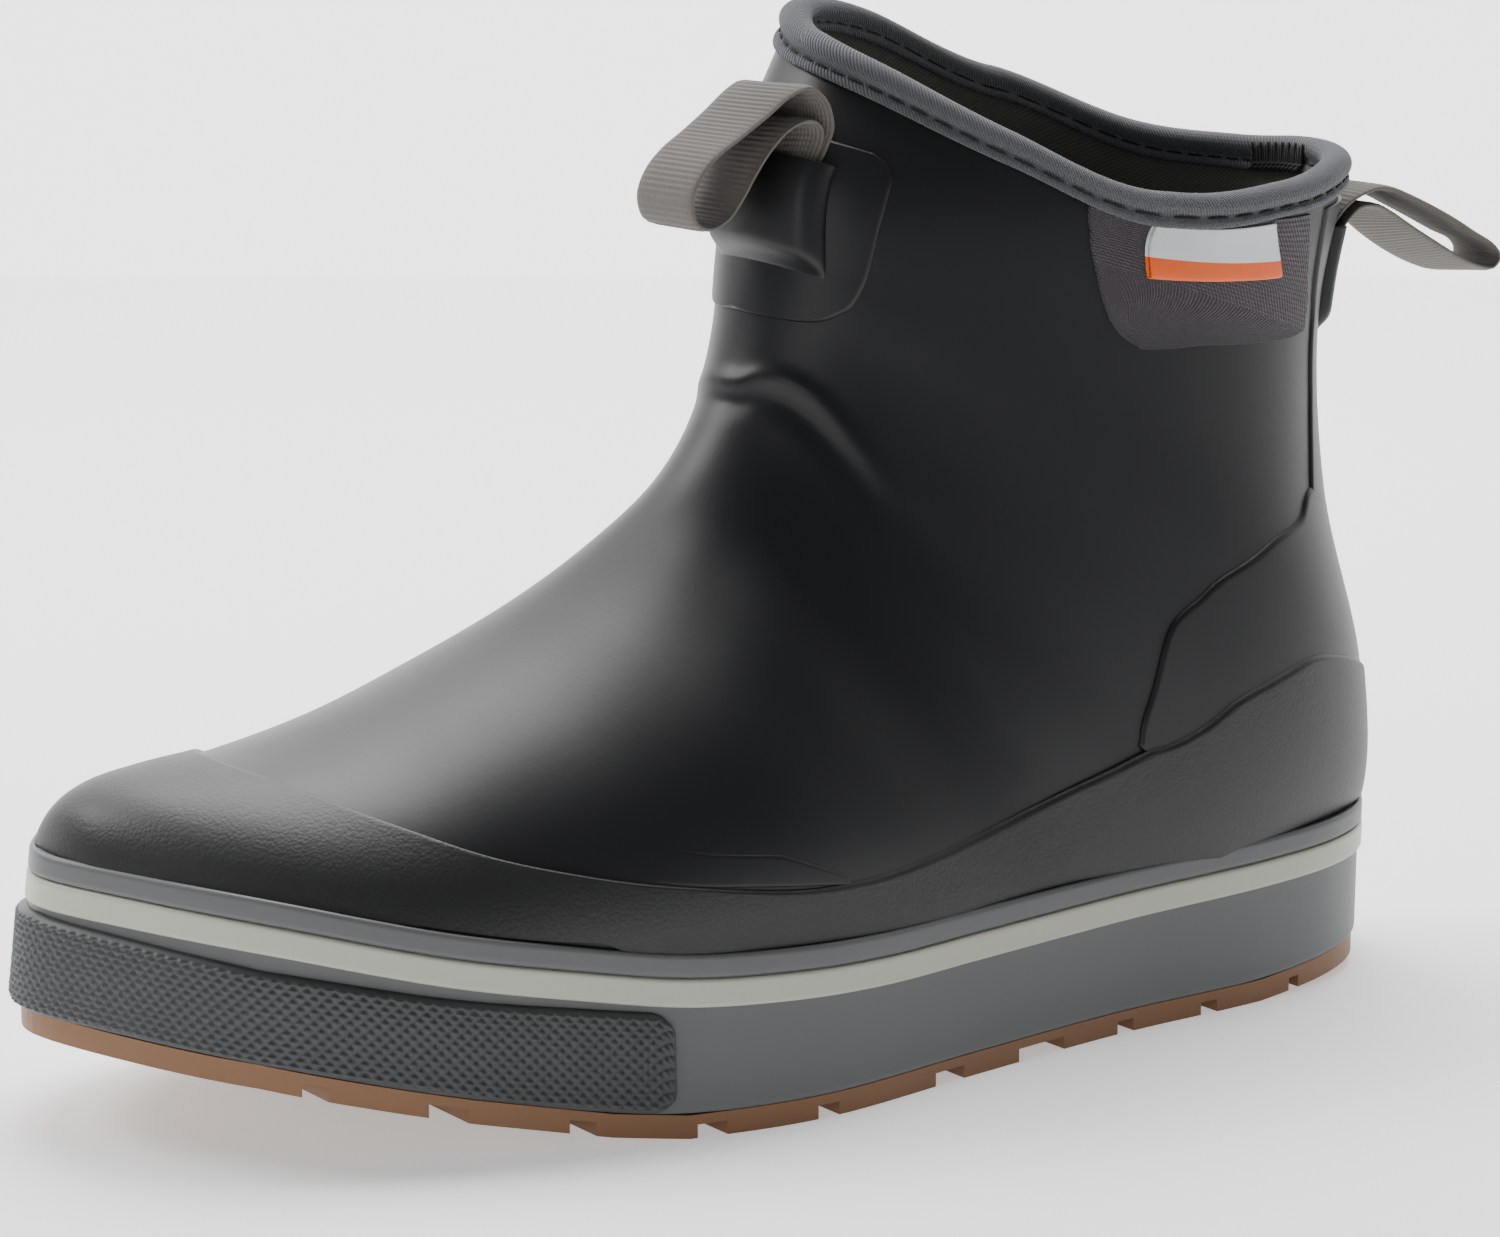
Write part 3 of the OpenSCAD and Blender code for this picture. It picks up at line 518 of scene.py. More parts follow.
# %% The boot's finishes
black = rubber("Black rubber", srgb(21, 22, 24), 0.43, specular=0.38)
guard_grain = grained("Grained black rubber", srgb(24, 25, 26), 0.5, 1400.0, 0.00005)
grey = rubber("Grey rubber", srgb(88, 90, 91), 0.48, depth=0.000025)
bumper_grey = rubber("Bumper rubber", srgb(58, 60, 62), 0.5)
pale = rubber("Pale stripe rubber", srgb(176, 179, 164), 0.45)
gum = rubber("Gum rubber", srgb(126, 88, 56), 0.55, depth=0.00003)
tape = cloth("Ribbed tape", srgb(30, 31, 34), srgb(92, 94, 99), (0.75, 0.9), 0.00022, 0.15, 0.5)
webbing = cloth("Grosgrain webbing", srgb(48, 45, 43), srgb(102, 97, 92), (0.55, 1.15), 0.00006, 0.6)
knit = cloth("Stretch knit", srgb(34, 30, 34), srgb(74, 67, 73), (0.75, 0.8), 0.0002, 0.9, 0.35)
twill = cloth("Lining twill", srgb(50, 50, 46), srgb(88, 88, 82), (0.8, 0.8), 0.00005, 0.2, 0.8)
thread = cloth("Thread", srgb(12, 12, 13), srgb(26, 26, 28), (0.4, 0.4), 0.00003)
foam = rubber("Foam", srgb(70, 76, 84), 0.85, depth=0.00008)
top_knit = cloth("Footbed cloth", srgb(30, 31, 34), srgb(52, 54, 58), (0.9, 0.9), 0.00008, 0.8)
board = rubber("Fibre board", srgb(170, 150, 120), 0.9, depth=0.00005)
pressed = rubber("Pressed sheet", srgb(150, 150, 145), 0.7)
filler = rubber("Filler foam", srgb(150, 142, 126), 0.9, depth=0.00008)

# %% [markdown]
# The side label is woven satin: white ground, with the lowest part woven in orange.
# It carries no words. The change of colour follows single picks, so its line is
# slightly stepped.

# %% The label's finish
ORANGE_FROM = 7.3
label_white, tree, shader, place = finish("Woven label", srgb(226, 228, 233), 0.5, 0.4)
effect = add_group(tree, ribs, place.outputs["UV"], Pitch_across=0.34, Pitch_down=0.34,
                   Cross_share=0.3, Slant=0.6)
bump(tree, shader, effect.outputs["Height"], 0.00005)
split = tree.nodes.new("ShaderNodeSeparateXYZ")
tree.links.new(place.outputs["UV"], split.inputs[0])
step = tree.nodes.new("ShaderNodeMapRange")
step.inputs["From Min"].default_value = ORANGE_FROM - 0.06
step.inputs["From Max"].default_value = ORANGE_FROM + 0.06
tree.links.new(split.outputs[1], step.inputs["Value"])
colours = tree.nodes.new("ShaderNodeMix")
colours.data_type = "RGBA"
colours.inputs["A"].default_value = srgb(226, 228, 233)
colours.inputs["B"].default_value = srgb(240, 98, 22)
tree.links.new(step.outputs[0], colours.inputs["Factor"])
tree.links.new(colours.outputs["Result"], shader.inputs["Base Color"])


# %% [markdown]
# A piece rides on a body of the CAD, so that it moves with that body's joint, and
# hides the plain CAD pieces that it stands for.

# %% Put a piece on its body
def place_piece(piece, body, material, slot, *nodes):
    """Gives a piece its finish and body, and hides the CAD nodes it stands for."""
    piece.data.materials.clear()
    piece.data.materials.append(material)
    if body:
        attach(piece, body)
    if nodes:
        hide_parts(*nodes)
    print(piece.name, len(piece.data.vertices), "points")
    return piece


# %% [markdown]
# ## Upper
# One moulding of thin rubber over a sock. Walking sets two marks in it: a short
# raised fold across the ankle with a hollow under it, and a faint line that runs
# from the fold's end down to the waist. They are shaped in the surface itself.

# %% Upper shell
FOLD = [[11.9, -20], [11.92, -6], [11.96, 7], [12.2, 14], [12.33, 21], [12.26, 27], [12.1, 32],
        [11.75, 41], [11.45, 46]]
WAIST_LINE = [[12.06, 37], [11.3, 51], [10.62, 63], [10.35, 74], [10.19, 84]]


def near_line(points, line, lift=0.0):
    """Distance in mm from each point to a line drawn on the upper, and the place along it."""
    c = open_curve(line, 8)
    track = upper_point(c[:, 0] + lift, c[:, 1], 0)
    flat = points.reshape(-1, 3)
    far = np.full(len(flat), 1e9)
    at = np.zeros(len(flat))
    for i, p in enumerate(track):
        d = np.linalg.norm(flat - p, axis=1)
        closer = d < far
        far[closer], at[closer] = d[closer], i / (len(track) - 1)
    return far.reshape(points.shape[:-1]), at.reshape(points.shape[:-1])


def fold_height(u, a):
    p = upper_point(u, a, 0)
    ridge, along = near_line(p, FOLD)
    fade = np.sin(np.pi * np.clip(along, 0, 1)) ** 0.7
    hollow, _ = near_line(p, FOLD, -0.3)
    line, along2 = near_line(p, WAIST_LINE)
    fade2 = np.sin(np.pi * np.clip(along2, 0, 1)) ** 0.5
    return (1.15 * fade * np.exp(-(ridge / 2.0) ** 2) - 1.0 * fade * np.exp(-(hollow / 3.2) ** 2)
            - 0.35 * fade2 * np.exp(-(line / 2.6) ** 2))


u = np.linspace(0, LAST, LAST * 10 + 1)[:, None]
a = np.arange(0, 360, 1.5)[None, :]
upper = skin("upper", upper_point(u, a, -fold_height(u, a)), upper_point(u, a, RUBBER_T), around=True)
place_piece(upper, "boot", black, "black_rubber", "upper_shell")

# %% [markdown]
# ## Guard and overlays
# Extra sheets of rubber are laid on the last before moulding. Each shows as a low
# step with a rounded edge. The guard round the foot is grained against scuffs.

# %% Guard round toe and heel
GUARD = [
    [0.1, 0, 4.5, 0], [0.3, 20, 4.55, 10], [0.8, 42, 4.75, 22], [1.6, 57, 5.1, 38],
    [2.6, 66, 5.5, 51], [3.6, 73, 6, 63], [5.1, 79, 6.7, 74.5], [6.3, 88, 7.3, 81],
    [7.5, 95, 8, 86.5], [8.2, 98, 8.6, 88], [8.8, 100, 9.2, 88], [9.7, 102, 10, 88],
    [10.3, 104, 10.6, 88], [10.7, 108, 11.1, 89.5], [11.1, 117, 11.6, 93],
    [11.5, 128, 12.1, 99], [11.8, 139, 12.6, 112], [12, 151, 12.85, 124],
    [12.15, 165, 13, 145], [12.2, 180, 13.05, 180],
]
mirrored = [[r[0], 360 - r[1], r[2], 360 - r[3]] for r in GUARD[-2:0:-1]]
whole = GUARD + mirrored
before = [[r[0], r[1] - 360, r[2], r[3] - 360] for r in whole[-1:]]
after = [[r[0], r[1] + 360, r[2], r[3] + 360] for r in whole[:2]]
track = np.array(before + whole + after)
k = np.linspace(1, len(whole) + 1, len(whole) * 9, endpoint=False)
i = k.astype(int)
band = blend4(track[i - 1], track[i], track[i + 1], track[i + 2], (k - i)[:, None])
across = packed(34, 0.8)[:, None]
gu = band[None, :, 0] + (band[None, :, 2] - band[None, :, 0]) * across
ga = band[None, :, 1] + (band[None, :, 3] - band[None, :, 1]) * across
from_top = to_last_row(upper_point(gu, ga, 0))
lift = look(gu, [[9.5, 0.0], [11, 0.75]])
outer = upper_point(gu, ga, -lift - 0.95 * rounded(from_top, 1.1))
guard = skin("guard", outer, upper_point(gu, ga, 0.4), around=True)
place_piece(guard, "boot", guard_grain, "grained_rubber", "toe_heel_guard")

# %% [markdown]
# These thinner layers stiffen the forefoot's side and the heel, cover the back seam
# and give the other foot a ledge to push the boot off with.

# %% Forefoot layer, heel counter, back strip and kick lug
vamp_layer = overlay(
    "vamp_layer", (6.9, 8.45),
    lambda u: look(u, [[6.9, 68], [7.2, 71], [7.5, 75], [8, 79], [8.45, 86.4]]),
    lambda u: look(u, [[6.9, 77], [7.4, 82], [8, 86], [8.45, 88.5]]), -0.15,
    lambda u: 0.15 + 0.45 * np.clip((u - 7) / 1.1, 0, 1), 0.8, (40, 24))
place_piece(vamp_layer, "boot", black, "black_rubber", "vamp_reinforcement")

COUNTER = [
    [11.1, 92, 11.12, 88.6], [11.3, 97, 11.4, 86.5], [11.6, 104, 12, 85.5],
    [12, 113, 12.4, 88], [12.3, 122, 12.9, 96], [12.5, 133, 13.4, 112],
    [12.6, 143, 13.7, 127], [12.65, 151, 13.95, 138], [12.68, 165, 14, 158], [12.7, 180, 14, 180],
]
whole = COUNTER + [[r[0], 360 - r[1], r[2], 360 - r[3]] for r in COUNTER[-2::-1]]
band = open_curve(whole, 9)
across = 1 - (1 - np.linspace(0, 1, 30)) ** 1.8
cu = (band[:, 0] + (band[:, 2] - band[:, 0]) * across[:, None])
ca = (band[:, 1] + (band[:, 3] - band[:, 1]) * across[:, None])
from_top = to_last_row(upper_point(cu, ca, 0))
counter = skin("heel_counter_layer", upper_point(cu, ca, -LAYER_T * rounded(from_top, 1.0)),
               upper_point(cu, ca, 0.4))
place_piece(counter, "boot", black, "black_rubber", "heel_counter")

STRIP = [[13.9, 137], [14.2, 141.5], [14.5, 145], [15, 147], [15.4, 143], [15.8, 138]]
strip = overlay("back_strip_layer", (13.9, 15.8), lambda u: look(u, STRIP),
                lambda u: 360 - look(u, STRIP), 0, LAYER_T, 0.9, (50, 70), (False, False))
place_piece(strip, "boot", black, "black_rubber", "back_strip")

lug = overlay("kick_lug_ledge", (13.26, 13.66), lambda u: 172 + 0 * u, lambda u: 188 + 0 * u,
              0.5, 3.4, 2.0, (26, 30))
place_piece(lug, "boot", black, "black_rubber", "kick_lug")

# %% [markdown]
# ## Pull loops' mounts
# The loops' ends go down behind moulded covers on thicker patches, so that the pull
# is spread over a wide area of rubber.

# %% Front patch and its pocket
PATCH = [[13.22, 8], [13.27, 17], [13.34, 23], [13.45, 28], [13.62, 32.5], [13.8, 36], [14.2, 40],
         [14.75, 43.5], [15.05, 44], [15.2, 43.2], [15.31, 41], [15.38, 36]]
patch_edge = open_curve(PATCH, 6)


def patch_half(u):
    return np.interp(u, patch_edge[:, 0], patch_edge[:, 1])


patch = overlay("front_patch_layer", (13.22, 15.38), lambda u: -0.62 * patch_half(u), patch_half,
                0, LAYER_T, 0.9, (80, 90))
place_piece(patch, "boot", black, "black_rubber", "front_patch")

COVER_FOOT, COVER_WALL, COVER_GAP = 0.6, 0.75, 0.05


def moulded_cover(name, u, a, tall):
    """A hollow cover that stands tall mm off its patch."""
    hollow = np.maximum(tall - COVER_WALL, 0)
    return skin(name, upper_point(u, a, -COVER_FOOT - tall),
                upper_point(u, a, COVER_GAP - COVER_FOOT - hollow))


u = (13.93 + 1.22 * packed(60, 0.7))[:, None]
side = np.sin(np.linspace(-np.pi / 2, np.pi / 2, 73))[None, :]
round_way = 10.25 + 18.75 * side
fit = upper_point(u, round_way, 0)
from_bottom = np.linalg.norm(np.diff(fit, axis=0, prepend=fit[:1]), axis=2).cumsum(0)
rise_up = 1 - np.exp(-(from_bottom / 2.2) ** 2)
rise_side = np.where(side < 0, rounded((1 + side) * 12, 1.6), rounded((1 - side) * 12, 4.5))
tall = 4.0 * rise_up * rise_side
pocket = moulded_cover("front_pocket_cover", u, round_way, tall)
place_piece(pocket, "boot", black, "black_rubber", "front_pocket")

# %% [markdown]
# The rear cover is the same moulding, smaller and alike on both sides.

# %% Rear patch
REAR_ROW, ROW_MM = 14.9, 38
u = (REAR_ROW + 0.7 * packed(30, 0.6))[:, None]
side = np.linspace(-1, 1, 49)[None, :]
rise_up = 1 - np.exp(-((u - REAR_ROW) * ROW_MM / 3.4) ** 2)
rise_side = rounded((1 - np.abs(side)) * 13, 2.0)
tall = 3.1 * rise_up * rise_side
rear_patch = moulded_cover("rear_patch_cover", u, 180 + 22 * side, tall)
place_piece(rear_patch, "boot", black, "black_rubber", "rear_patch")

# %% [markdown]
# ## Webbing
# Each pull loop is one length of grosgrain webbing, folded over with both ends in
# its mount. The cross ribs are real here: the mesh rises and falls with each pick.

# %% Webbing strip maker
RIB_PITCH, RIB_RISE = 1.15, 0.10
WEB_HALF, WEB_T = 10, 1.2


def strap(name, path, half_width, thick, width_way, skew=0.0):
    """Webbing along path [x, y, z, sag, tilt]; width_way gives its width direction along it."""
    line = open_curve(path, 24)
    length = np.concatenate([[0], np.cumsum(np.linalg.norm(np.diff(line[:, :3], axis=0), axis=1))])
    s = np.arange(0, length[-1], RIB_PITCH / 6)
    line = np.stack([np.interp(s, length, line[:, c]) for c in range(5)], 1)
    wide = width_way(line)
    wide[:, 2] += line[:, 4] / half_width
    along = np.gradient(line[:, :3], axis=0)
    along /= np.linalg.norm(along, axis=1, keepdims=True)
    normal = np.cross(wide, along)
    normal /= np.linalg.norm(normal, axis=1, keepdims=True)
    c = np.array([-1, -0.985, -0.94, -0.86, -0.7, -0.45, -0.15, 0.15, 0.45, 0.7, 0.86, 0.94, 0.985, 1])
    middle = line[:, None, :3] + wide[:, None] * (c * half_width)[None, :, None]
    middle[..., 1] += line[:, None, 3] * ((c + skew) ** 2 - skew**2)
    rib = RIB_RISE * np.cos(2 * np.pi * s / RIB_PITCH)[:, None]
    body = thick / 2 * (1 - 0.62 * np.abs(c) ** 14) + rib * (1 - np.abs(c) ** 10)
    uv = np.stack(np.broadcast_arrays((c * half_width)[None, :], s[:, None]), -1)
    return skin(name, middle + normal[:, None] * body[..., None],
                middle - normal[:, None] * body[..., None], uv=uv)


# %% [markdown]
# The front loop flops forward under its own weight, so its tip hangs below its root.

# %% Front loop
FRONT_STRAP = [
    [0.65, 156, 1.3], [1.05, 166, 2.0], [2.4, 172, 2.6], [3.35, 176, 3.2], [4.75, 180, 3.3],
    [5.7, 183.6, 2.6], [5.4, 186.2, 2.0], [3.7, 188, 1.4], [0.2, 186.4, 0.8], [-4.4, 182.8, 0.5],
    [-9.6, 179.1, 0.2], [-14.5, 175.8, 0], [-18.1, 172, 0], [-19.9, 167.5, 0], [-18.8, 163.3, 0],
    [-15.4, 162.2, 0], [-11.5, 164, 0], [-8.4, 167.8, 0], [-6, 171.8, 0.1], [-3.5, 176.2, 0.5],
    [-1, 179.6, 1], [0.8, 181.2, 1.6], [2.3, 181.7, 2.2], [3.1, 180.6, 2.8], [2.9, 178.6, 3.1],
    [2.05, 176.2, 3.1], [1.05, 172, 2.6], [-0.25, 166, 2], [-0.65, 157, 1.3],
]
front_loop = strap("front_pull_loop", [[4, p[0], p[1], p[2], 0] for p in FRONT_STRAP], WEB_HALF,
                   WEB_T, lambda line: np.tile([1.0, 0, 0], (len(line), 1)), 0.6)
place_piece(front_loop, None, webbing, "webbing", "front_loop", "front_loop_tail")
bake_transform(front_loop)

# %% [markdown]
# The rear loop stands out from the heel and has taken a twist from being pulled. It
# is drawn flat in side view first, then laid along a curve that turns outward.

# %% Rear loop, turning towards the outer side along its length
REAR_STRAP = [
    [142.5, 146, -2.6, 0], [143.4, 150, -2.6, 0], [144.9, 154, -2.4, 0], [147.6, 157.2, -2, 0],
    [150.6, 159.3, -1.2, 0], [154.2, 160.5, -0.4, 0], [158.2, 160.1, 0, 0], [163.3, 158.3, 0, 0],
    [169, 155.7, 0, 0.2], [174.8, 152.8, 0, 0.3], [180.6, 149.6, 0, 0.2], [185, 147.3, 0, 0],
    [186.9, 144.6, 0, 0.2], [185.2, 141.8, 0, 0.7], [180.6, 142, 0, 1.3], [174.8, 144.3, 0, 1.6],
    [168.7, 147.6, 0, 1.6], [163.2, 151, 0, 1.2], [158.6, 154.2, 0, 0.6], [154.6, 156.5, -0.4, 0.2],
    [151.2, 156.9, -1.2, 0], [148.8, 155, -2, 0], [146.4, 152, -2.4, 0], [144.8, 149, -2.6, 0],
    [143.7, 145, -2.6, 0],
]
REAR_ROOT, REAR_TURN = 153.0, 12.0
run = np.linspace(0, 45, 91)
heading = np.radians(REAR_TURN) * np.clip(run / 34, 0, 1) ** 0.8
swept = np.cumsum(np.stack([np.sin(heading), np.cos(heading)], 1) * (run[1] - run[0]), 0)


def swing_out(p):
    """Moves a point of the flat strap's side view onto the curve it hangs in."""
    d = p[0] - REAR_ROOT
    if d <= 0:
        return [-2, p[0], p[1], p[2], p[3]]
    return [-2 + np.interp(d, run, swept[:, 0]), REAR_ROOT + np.interp(d, run, swept[:, 1]), p[1],
            p[2], p[3]]


def rear_width(line):
    out = np.interp(line[:, 1], REAR_ROOT + swept[:, 1], heading)
    out = np.where(line[:, 1] < REAR_ROOT, 0, out)
    return np.stack([np.cos(out), -np.sin(out), 0 * out], 1)


rear_loop = strap("rear_pull_loop", [swing_out(p) for p in REAR_STRAP], WEB_HALF, WEB_T, rear_width)
place_piece(rear_loop, None, webbing, "webbing", "rear_loop", "rear_loop_tail")
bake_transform(rear_loop)

# %% [markdown]
# ## Collar
# A stretch knit panel lets the collar give at the outer side. The raw edge of rubber
# and sock is rolled inside an elastic tape, stitched once round; the roll stands
# proud, the stitches pull a groove, and a flat flange of tape shows below it.

# %% Knit gore
GORE_FROM = [[14.35, 90.8], [14.37, 89.5], [14.4, 88.5], [14.47, 87.5], [14.55, 87], [14.65, 86.5],
             [14.8, 86], [14.97, 85.2], [15.22, 84], [15.67, 79.8], [15.8, 78.5]]
GORE_TO = [[14.35, 91.2], [14.42, 96.5], [14.52, 103.8], [14.68, 120.5], [14.8, 134], [14.87, 140.5],
           [15.07, 141.5], [15.43, 136], [15.83, 129]]
gore = overlay("gore_knit", (14.35, 15.8), lambda u: look(u, GORE_FROM), lambda u: look(u, GORE_TO),
               0, 0.5, 0.6, (60, 70), (True, False))
place_piece(gore, "boot", knit, "knit", "gore_panel")

# %% [markdown]
# The tape is one section swept round the collar. Its groove deepens at each stitch.

# %% Binding tape: roll, stitched groove and flange
STITCHES, STITCH_UP = 60, -4.95
ring = np.arange(0, 360, 0.5)


def collar_lean(a):
    """How far the upper moves outward, across the collar line, for each mm down from its edge."""
    down = upper_point(LAST - 0.25, a, 0) - upper_point(LAST, a, 0)
    round_way = upper_point(LAST, np.asarray(a) + 2.0, 0) - upper_point(LAST, np.asarray(a) - 2.0, 0)
    flat = round_way[..., :2] / np.linalg.norm(round_way[..., :2], axis=-1, keepdims=True)
    slide = (down[..., :2] * flat).sum(-1) / (round_way[..., :2] * flat).sum(-1)
    fall = down - slide[..., None] * round_way
    return fall[..., :2] / -fall[..., 2:3]


def tape_point(a, out, up):
    """A point on the binding: out from the collar line, up from its top, leaning with the wall."""
    p = collar_point(a, -np.asarray(out, float), -np.asarray(up, float))
    p[..., :2] += collar_lean(a) * np.maximum(0, -np.asarray(up, float) - EDGE_DROP)[..., None]
    return p


roll = [(-1.75 + 3.3 * math.cos(math.radians(t)), -2.7 + 2.65 * math.sin(math.radians(t)))
        for t in range(-44, 226, 9)]
section = ([(0.6, -6.75), (1.0, -7.0), (1.45, -6.8), (1.55, -6.2), (1.4, -5.6), (0.95, -5.1)] + roll
           + [(-4.5, -5.0), (-4.95, -5.5), (-5.1, -6.2), (-4.95, -6.9), (-4.5, -6.75)])
section = np.array(section)
pull = 0.3 * np.abs(np.sin(np.radians(ring) * STITCHES / 2)) ** 3
groove = np.exp(-((section[:, 1] - STITCH_UP) / 0.45) ** 2) * np.sign(section[:, 0] + 1.7)
out = section[:, 0][:, None] - groove[:, None] * pull[None, :]
up = section[:, 1][:, None] + 0 * out
drift = 0.18 * np.sin(np.radians(ring) * 3 + 1) + 0.12 * np.sin(np.radians(ring) * 7)
up = np.where(up < -5.3, up + drift[None, :], up)
outer = tape_point(ring[None, :], out, up)
inner_out = np.where(section[:, 0] > -1.7, 0.5, -4.35)[:, None] + 0 * out
inner_up = np.clip(up, -6.6, -4.1)
inner = tape_point(ring[None, :], inner_out, inner_up)
binding = skin("collar_binding_tape", outer, inner, around=True)
place_piece(binding, "boot", tape, "binding_tape", "collar_binding")

# %% [markdown]
# Every stitch is its own short thread, so that each catches the light.

# %% Stitches
pills = []
for j in range(STITCHES):
    for first, last, out in ((0.12, 0.88, 1.0), (0.6, 1.4, -4.75)):
        a0, a1 = 360 * (j + first) / STITCHES, 360 * (j + last) / STITCHES
        wander = 0.1 * math.sin(math.radians(a0) * 3 + 1)
        up = STITCH_UP + wander
        pills.append(pill(tape_point(a0, out, up), tape_point(a1, out, up), 0.24))
stitches = join_pills("collar_stitches", pills)
place_piece(stitches, "boot", thread, "thread", "binding_stitches")

# %% [markdown]
# The label is one strip folded in half, with both ends sewn under the tape and the
# fold hanging free. Both layers follow the upper's curve.

# %% Woven label, a folded strip caught under the tape
LABEL_WIDE, LABEL_TALL, LABEL_LAYER, LABEL_TUCK = 34, 10.2, 0.12, 1.3
LABEL_TOP, LABEL_BOTTOM = ((15.54, 90.8), (15.69, 117)), ((14.87, 93), (15.19, 124.2))
line = [[0.95, LABEL_TUCK], [0.95, -1], [1.0, -4], [1.15, -7], [1.15, -9.6], [0.85, -10.25], [0.55, -9.7],
        [0.55, -7], [0.55, -4], [0.55, -1], [0.55, LABEL_TUCK]]
fold = open_curve(line, 5)
t = np.linspace(0, 1, 60)
step_way = np.gradient(fold, axis=0)
step_way /= np.linalg.norm(step_way, axis=1, keepdims=True)


def label_grid(shift):
    """Both layers of the label, laid on the upper; shift moves along its thickness."""
    at = fold + np.stack([-step_way[:, 1], step_way[:, 0]], 1) * shift
    down = -at[:, 1:2] / LABEL_TALL
    behind = np.linspace(0, 1, len(fold))[:, None] > 0.5
    share = t[None, :] - 0.014 * behind
    (u0, a0), (u1, a1) = LABEL_TOP
    (u2, a2), (u3, a3) = LABEL_BOTTOM
    u = (u0 + (u1 - u0) * share) * (1 - down) + (u2 + (u3 - u2) * share) * down
    a = (a0 + (a1 - a0) * share) * (1 - down) + (a2 + (a3 - a2) * share) * down
    waver = 0.22 * (1 + np.sin(share * 8)) * np.clip(down, 0, 1)
    return upper_point(u, a, -at[:, 0:1] - waver)


length = np.concatenate([[0], np.cumsum(np.linalg.norm(np.diff(fold, axis=0), axis=1))])
half = length[-1] / 2
hanging = half - np.abs(length - half) - LABEL_TUCK
uv = np.stack(np.broadcast_arrays((t * LABEL_WIDE)[None, :], hanging[:, None]), -1)
label = skin("side_label", label_grid(LABEL_LAYER), label_grid(-LABEL_LAYER), uv=uv)
place_piece(label, None, label_white, "label_cloth", "woven_label", "label_seam")
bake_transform(label)

# %% [markdown]
# ## Sole
# The grey wall is a strip of rubber wrapped round the last and vulcanised on, with a
# pale stripe and a narrow band over it, and a knurled bumper round the toe.

# %% Sidewall, stripe and top band
steps = np.arange(0, len(PLAN), 1 / 14)
tall = wall_height(steps)


def wall_band(name, low, high, proud, base, rows, edge):
    """A strip round the sidewall with rounded edges, between two heights."""
    f = packed(rows, 0.85)[:, None]
    h = low[None, :] + (high - low)[None, :] * f
    near = np.minimum(h - low, high - h)
    height = proud * rounded(near, edge)
    return skin(name, wall_point(steps, h, base - height), wall_point(steps, h, base + 0.35), around=True)


f = packed(46, 0.9)[:, None]
wall_top = tall - 0.25
h = OUTSOLE_T + (wall_top - OUTSOLE_T)[None, :] * f
near = np.minimum(h - OUTSOLE_T, wall_top - h)
outer = wall_point(steps, h, 0.8 - 0.8 * rounded(near, 1.2))
inner = wall_point(steps, h, 1.2 + 3.4 * (1 - f))
wall = skin("sidewall", outer, inner, around=True)
place_piece(wall, "boot", grey, "grey_rubber", "foxing_sidewall")
band_low = tall - TOP_BAND_H
stripe = wall_band("pale_stripe", band_low - STRIPE_H, band_low - 0.1, 0.85, 0, 18, 0.7)
place_piece(stripe, "boot", pale, "stripe_rubber", "foxing_stripe")
top_band = wall_band("top_band", band_low, tall, 0.75, 0, 20, 1.0)
place_piece(top_band, "boot", grey, "grey_rubber", "foxing_top_band")

# %% [markdown]
# The knurl helps the toe grip and resist scuffs. Its diamonds are real relief: two
# slanting sawtooth waves cross, and the lower one gives the height.

# %% Toe bumper with its diamond knurl
KNURL_ALONG, KNURL_UP, KNURL_RISE = 2.5, 2.3, 0.85
BUMPER_DROP = [[0, 0.9], [2, 3.0], [3.2, 2.2], [4.9, 1]]
k = 7.1 + 9.8 * packed(640, 0.35)
line = plan_point(k, 0 * k)
s = np.concatenate([[0], np.cumsum(np.linalg.norm(np.diff(line, axis=0), axis=1))])
from_end = np.minimum(s, s[-1] - s)
corner = 5.0
trim = np.where(from_end < corner, corner - np.sqrt(np.maximum(0, corner**2 - (corner - from_end) ** 2)), 0)
low = OUTSOLE_T + 0.4 + trim
high = wall_height(k) - TOP_BAND_H - STRIPE_H - look(np.abs(k - 12), BUMPER_DROP) - trim
f = packed(74, 0.5)[:, None]
h = low[None, :] + (high - low)[None, :] * f
near = np.minimum(np.minimum(h - low, high - h), from_end[None, :])
p, q = s / KNURL_ALONG + (high - h) / KNURL_UP, s / KNURL_ALONG - (high - h) / KNURL_UP
diamond = 1 - np.maximum(np.abs(2 * (p % 1) - 1), np.abs(2 * (q % 1) - 1))
proud = 1.7 * rounded(near, 0.9) + KNURL_RISE * diamond * np.clip((near - 0.5) / 0.6, 0, 1)
bumper = skin("toe_bumper_knurled", wall_point(k, h, -proud), wall_point(k, h, 0.4))
place_piece(bumper, "boot", bumper_grey, "bumper_rubber", "toe_bumper")

# %% [markdown]
# ## CAD pieces shown as they are
# The outsole's channels and fine cuts are exact in the CAD, so it is shown itself,
# with its moulded edges eased. Hidden layers only need their own finish.

# %% Outsole and hidden layers
for node, material in {
        "outsole": gum, "midsole": filler, "toe_stiffener": pressed, "heel_stiffener": pressed,
        "insole_board": board}.items():
    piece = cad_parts[node]
    piece.data.materials.clear()
    piece.data.materials.append(material)
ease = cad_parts["outsole"].modifiers.new("moulded edges", "BEVEL")
ease.width, ease.segments, ease.limit_method, ease.angle_limit = 0.0005, 2, "ANGLE", math.radians(35)

# %% [markdown]
# ## Inside
# The sock is twill cloth glued to the rubber. At the back of the collar the tape's
# two ends meet and are overlocked together.

# %% Lining
u = np.linspace(0.5, LAST, 110)[:, None]
a = np.arange(0, 360, 2.0)[None, :]
sock_out = RUBBER_T + SOCK_GAP
lining = skin("sock_lining", upper_point(u, a, sock_out), upper_point(u, a, sock_out + SOCK_T),
              around=True)
place_piece(lining, "boot", twill, "lining_cloth", "lining")


# %% [markdown]
# The footbed is a foam pad cut to the floor inside, with knit glued on top.

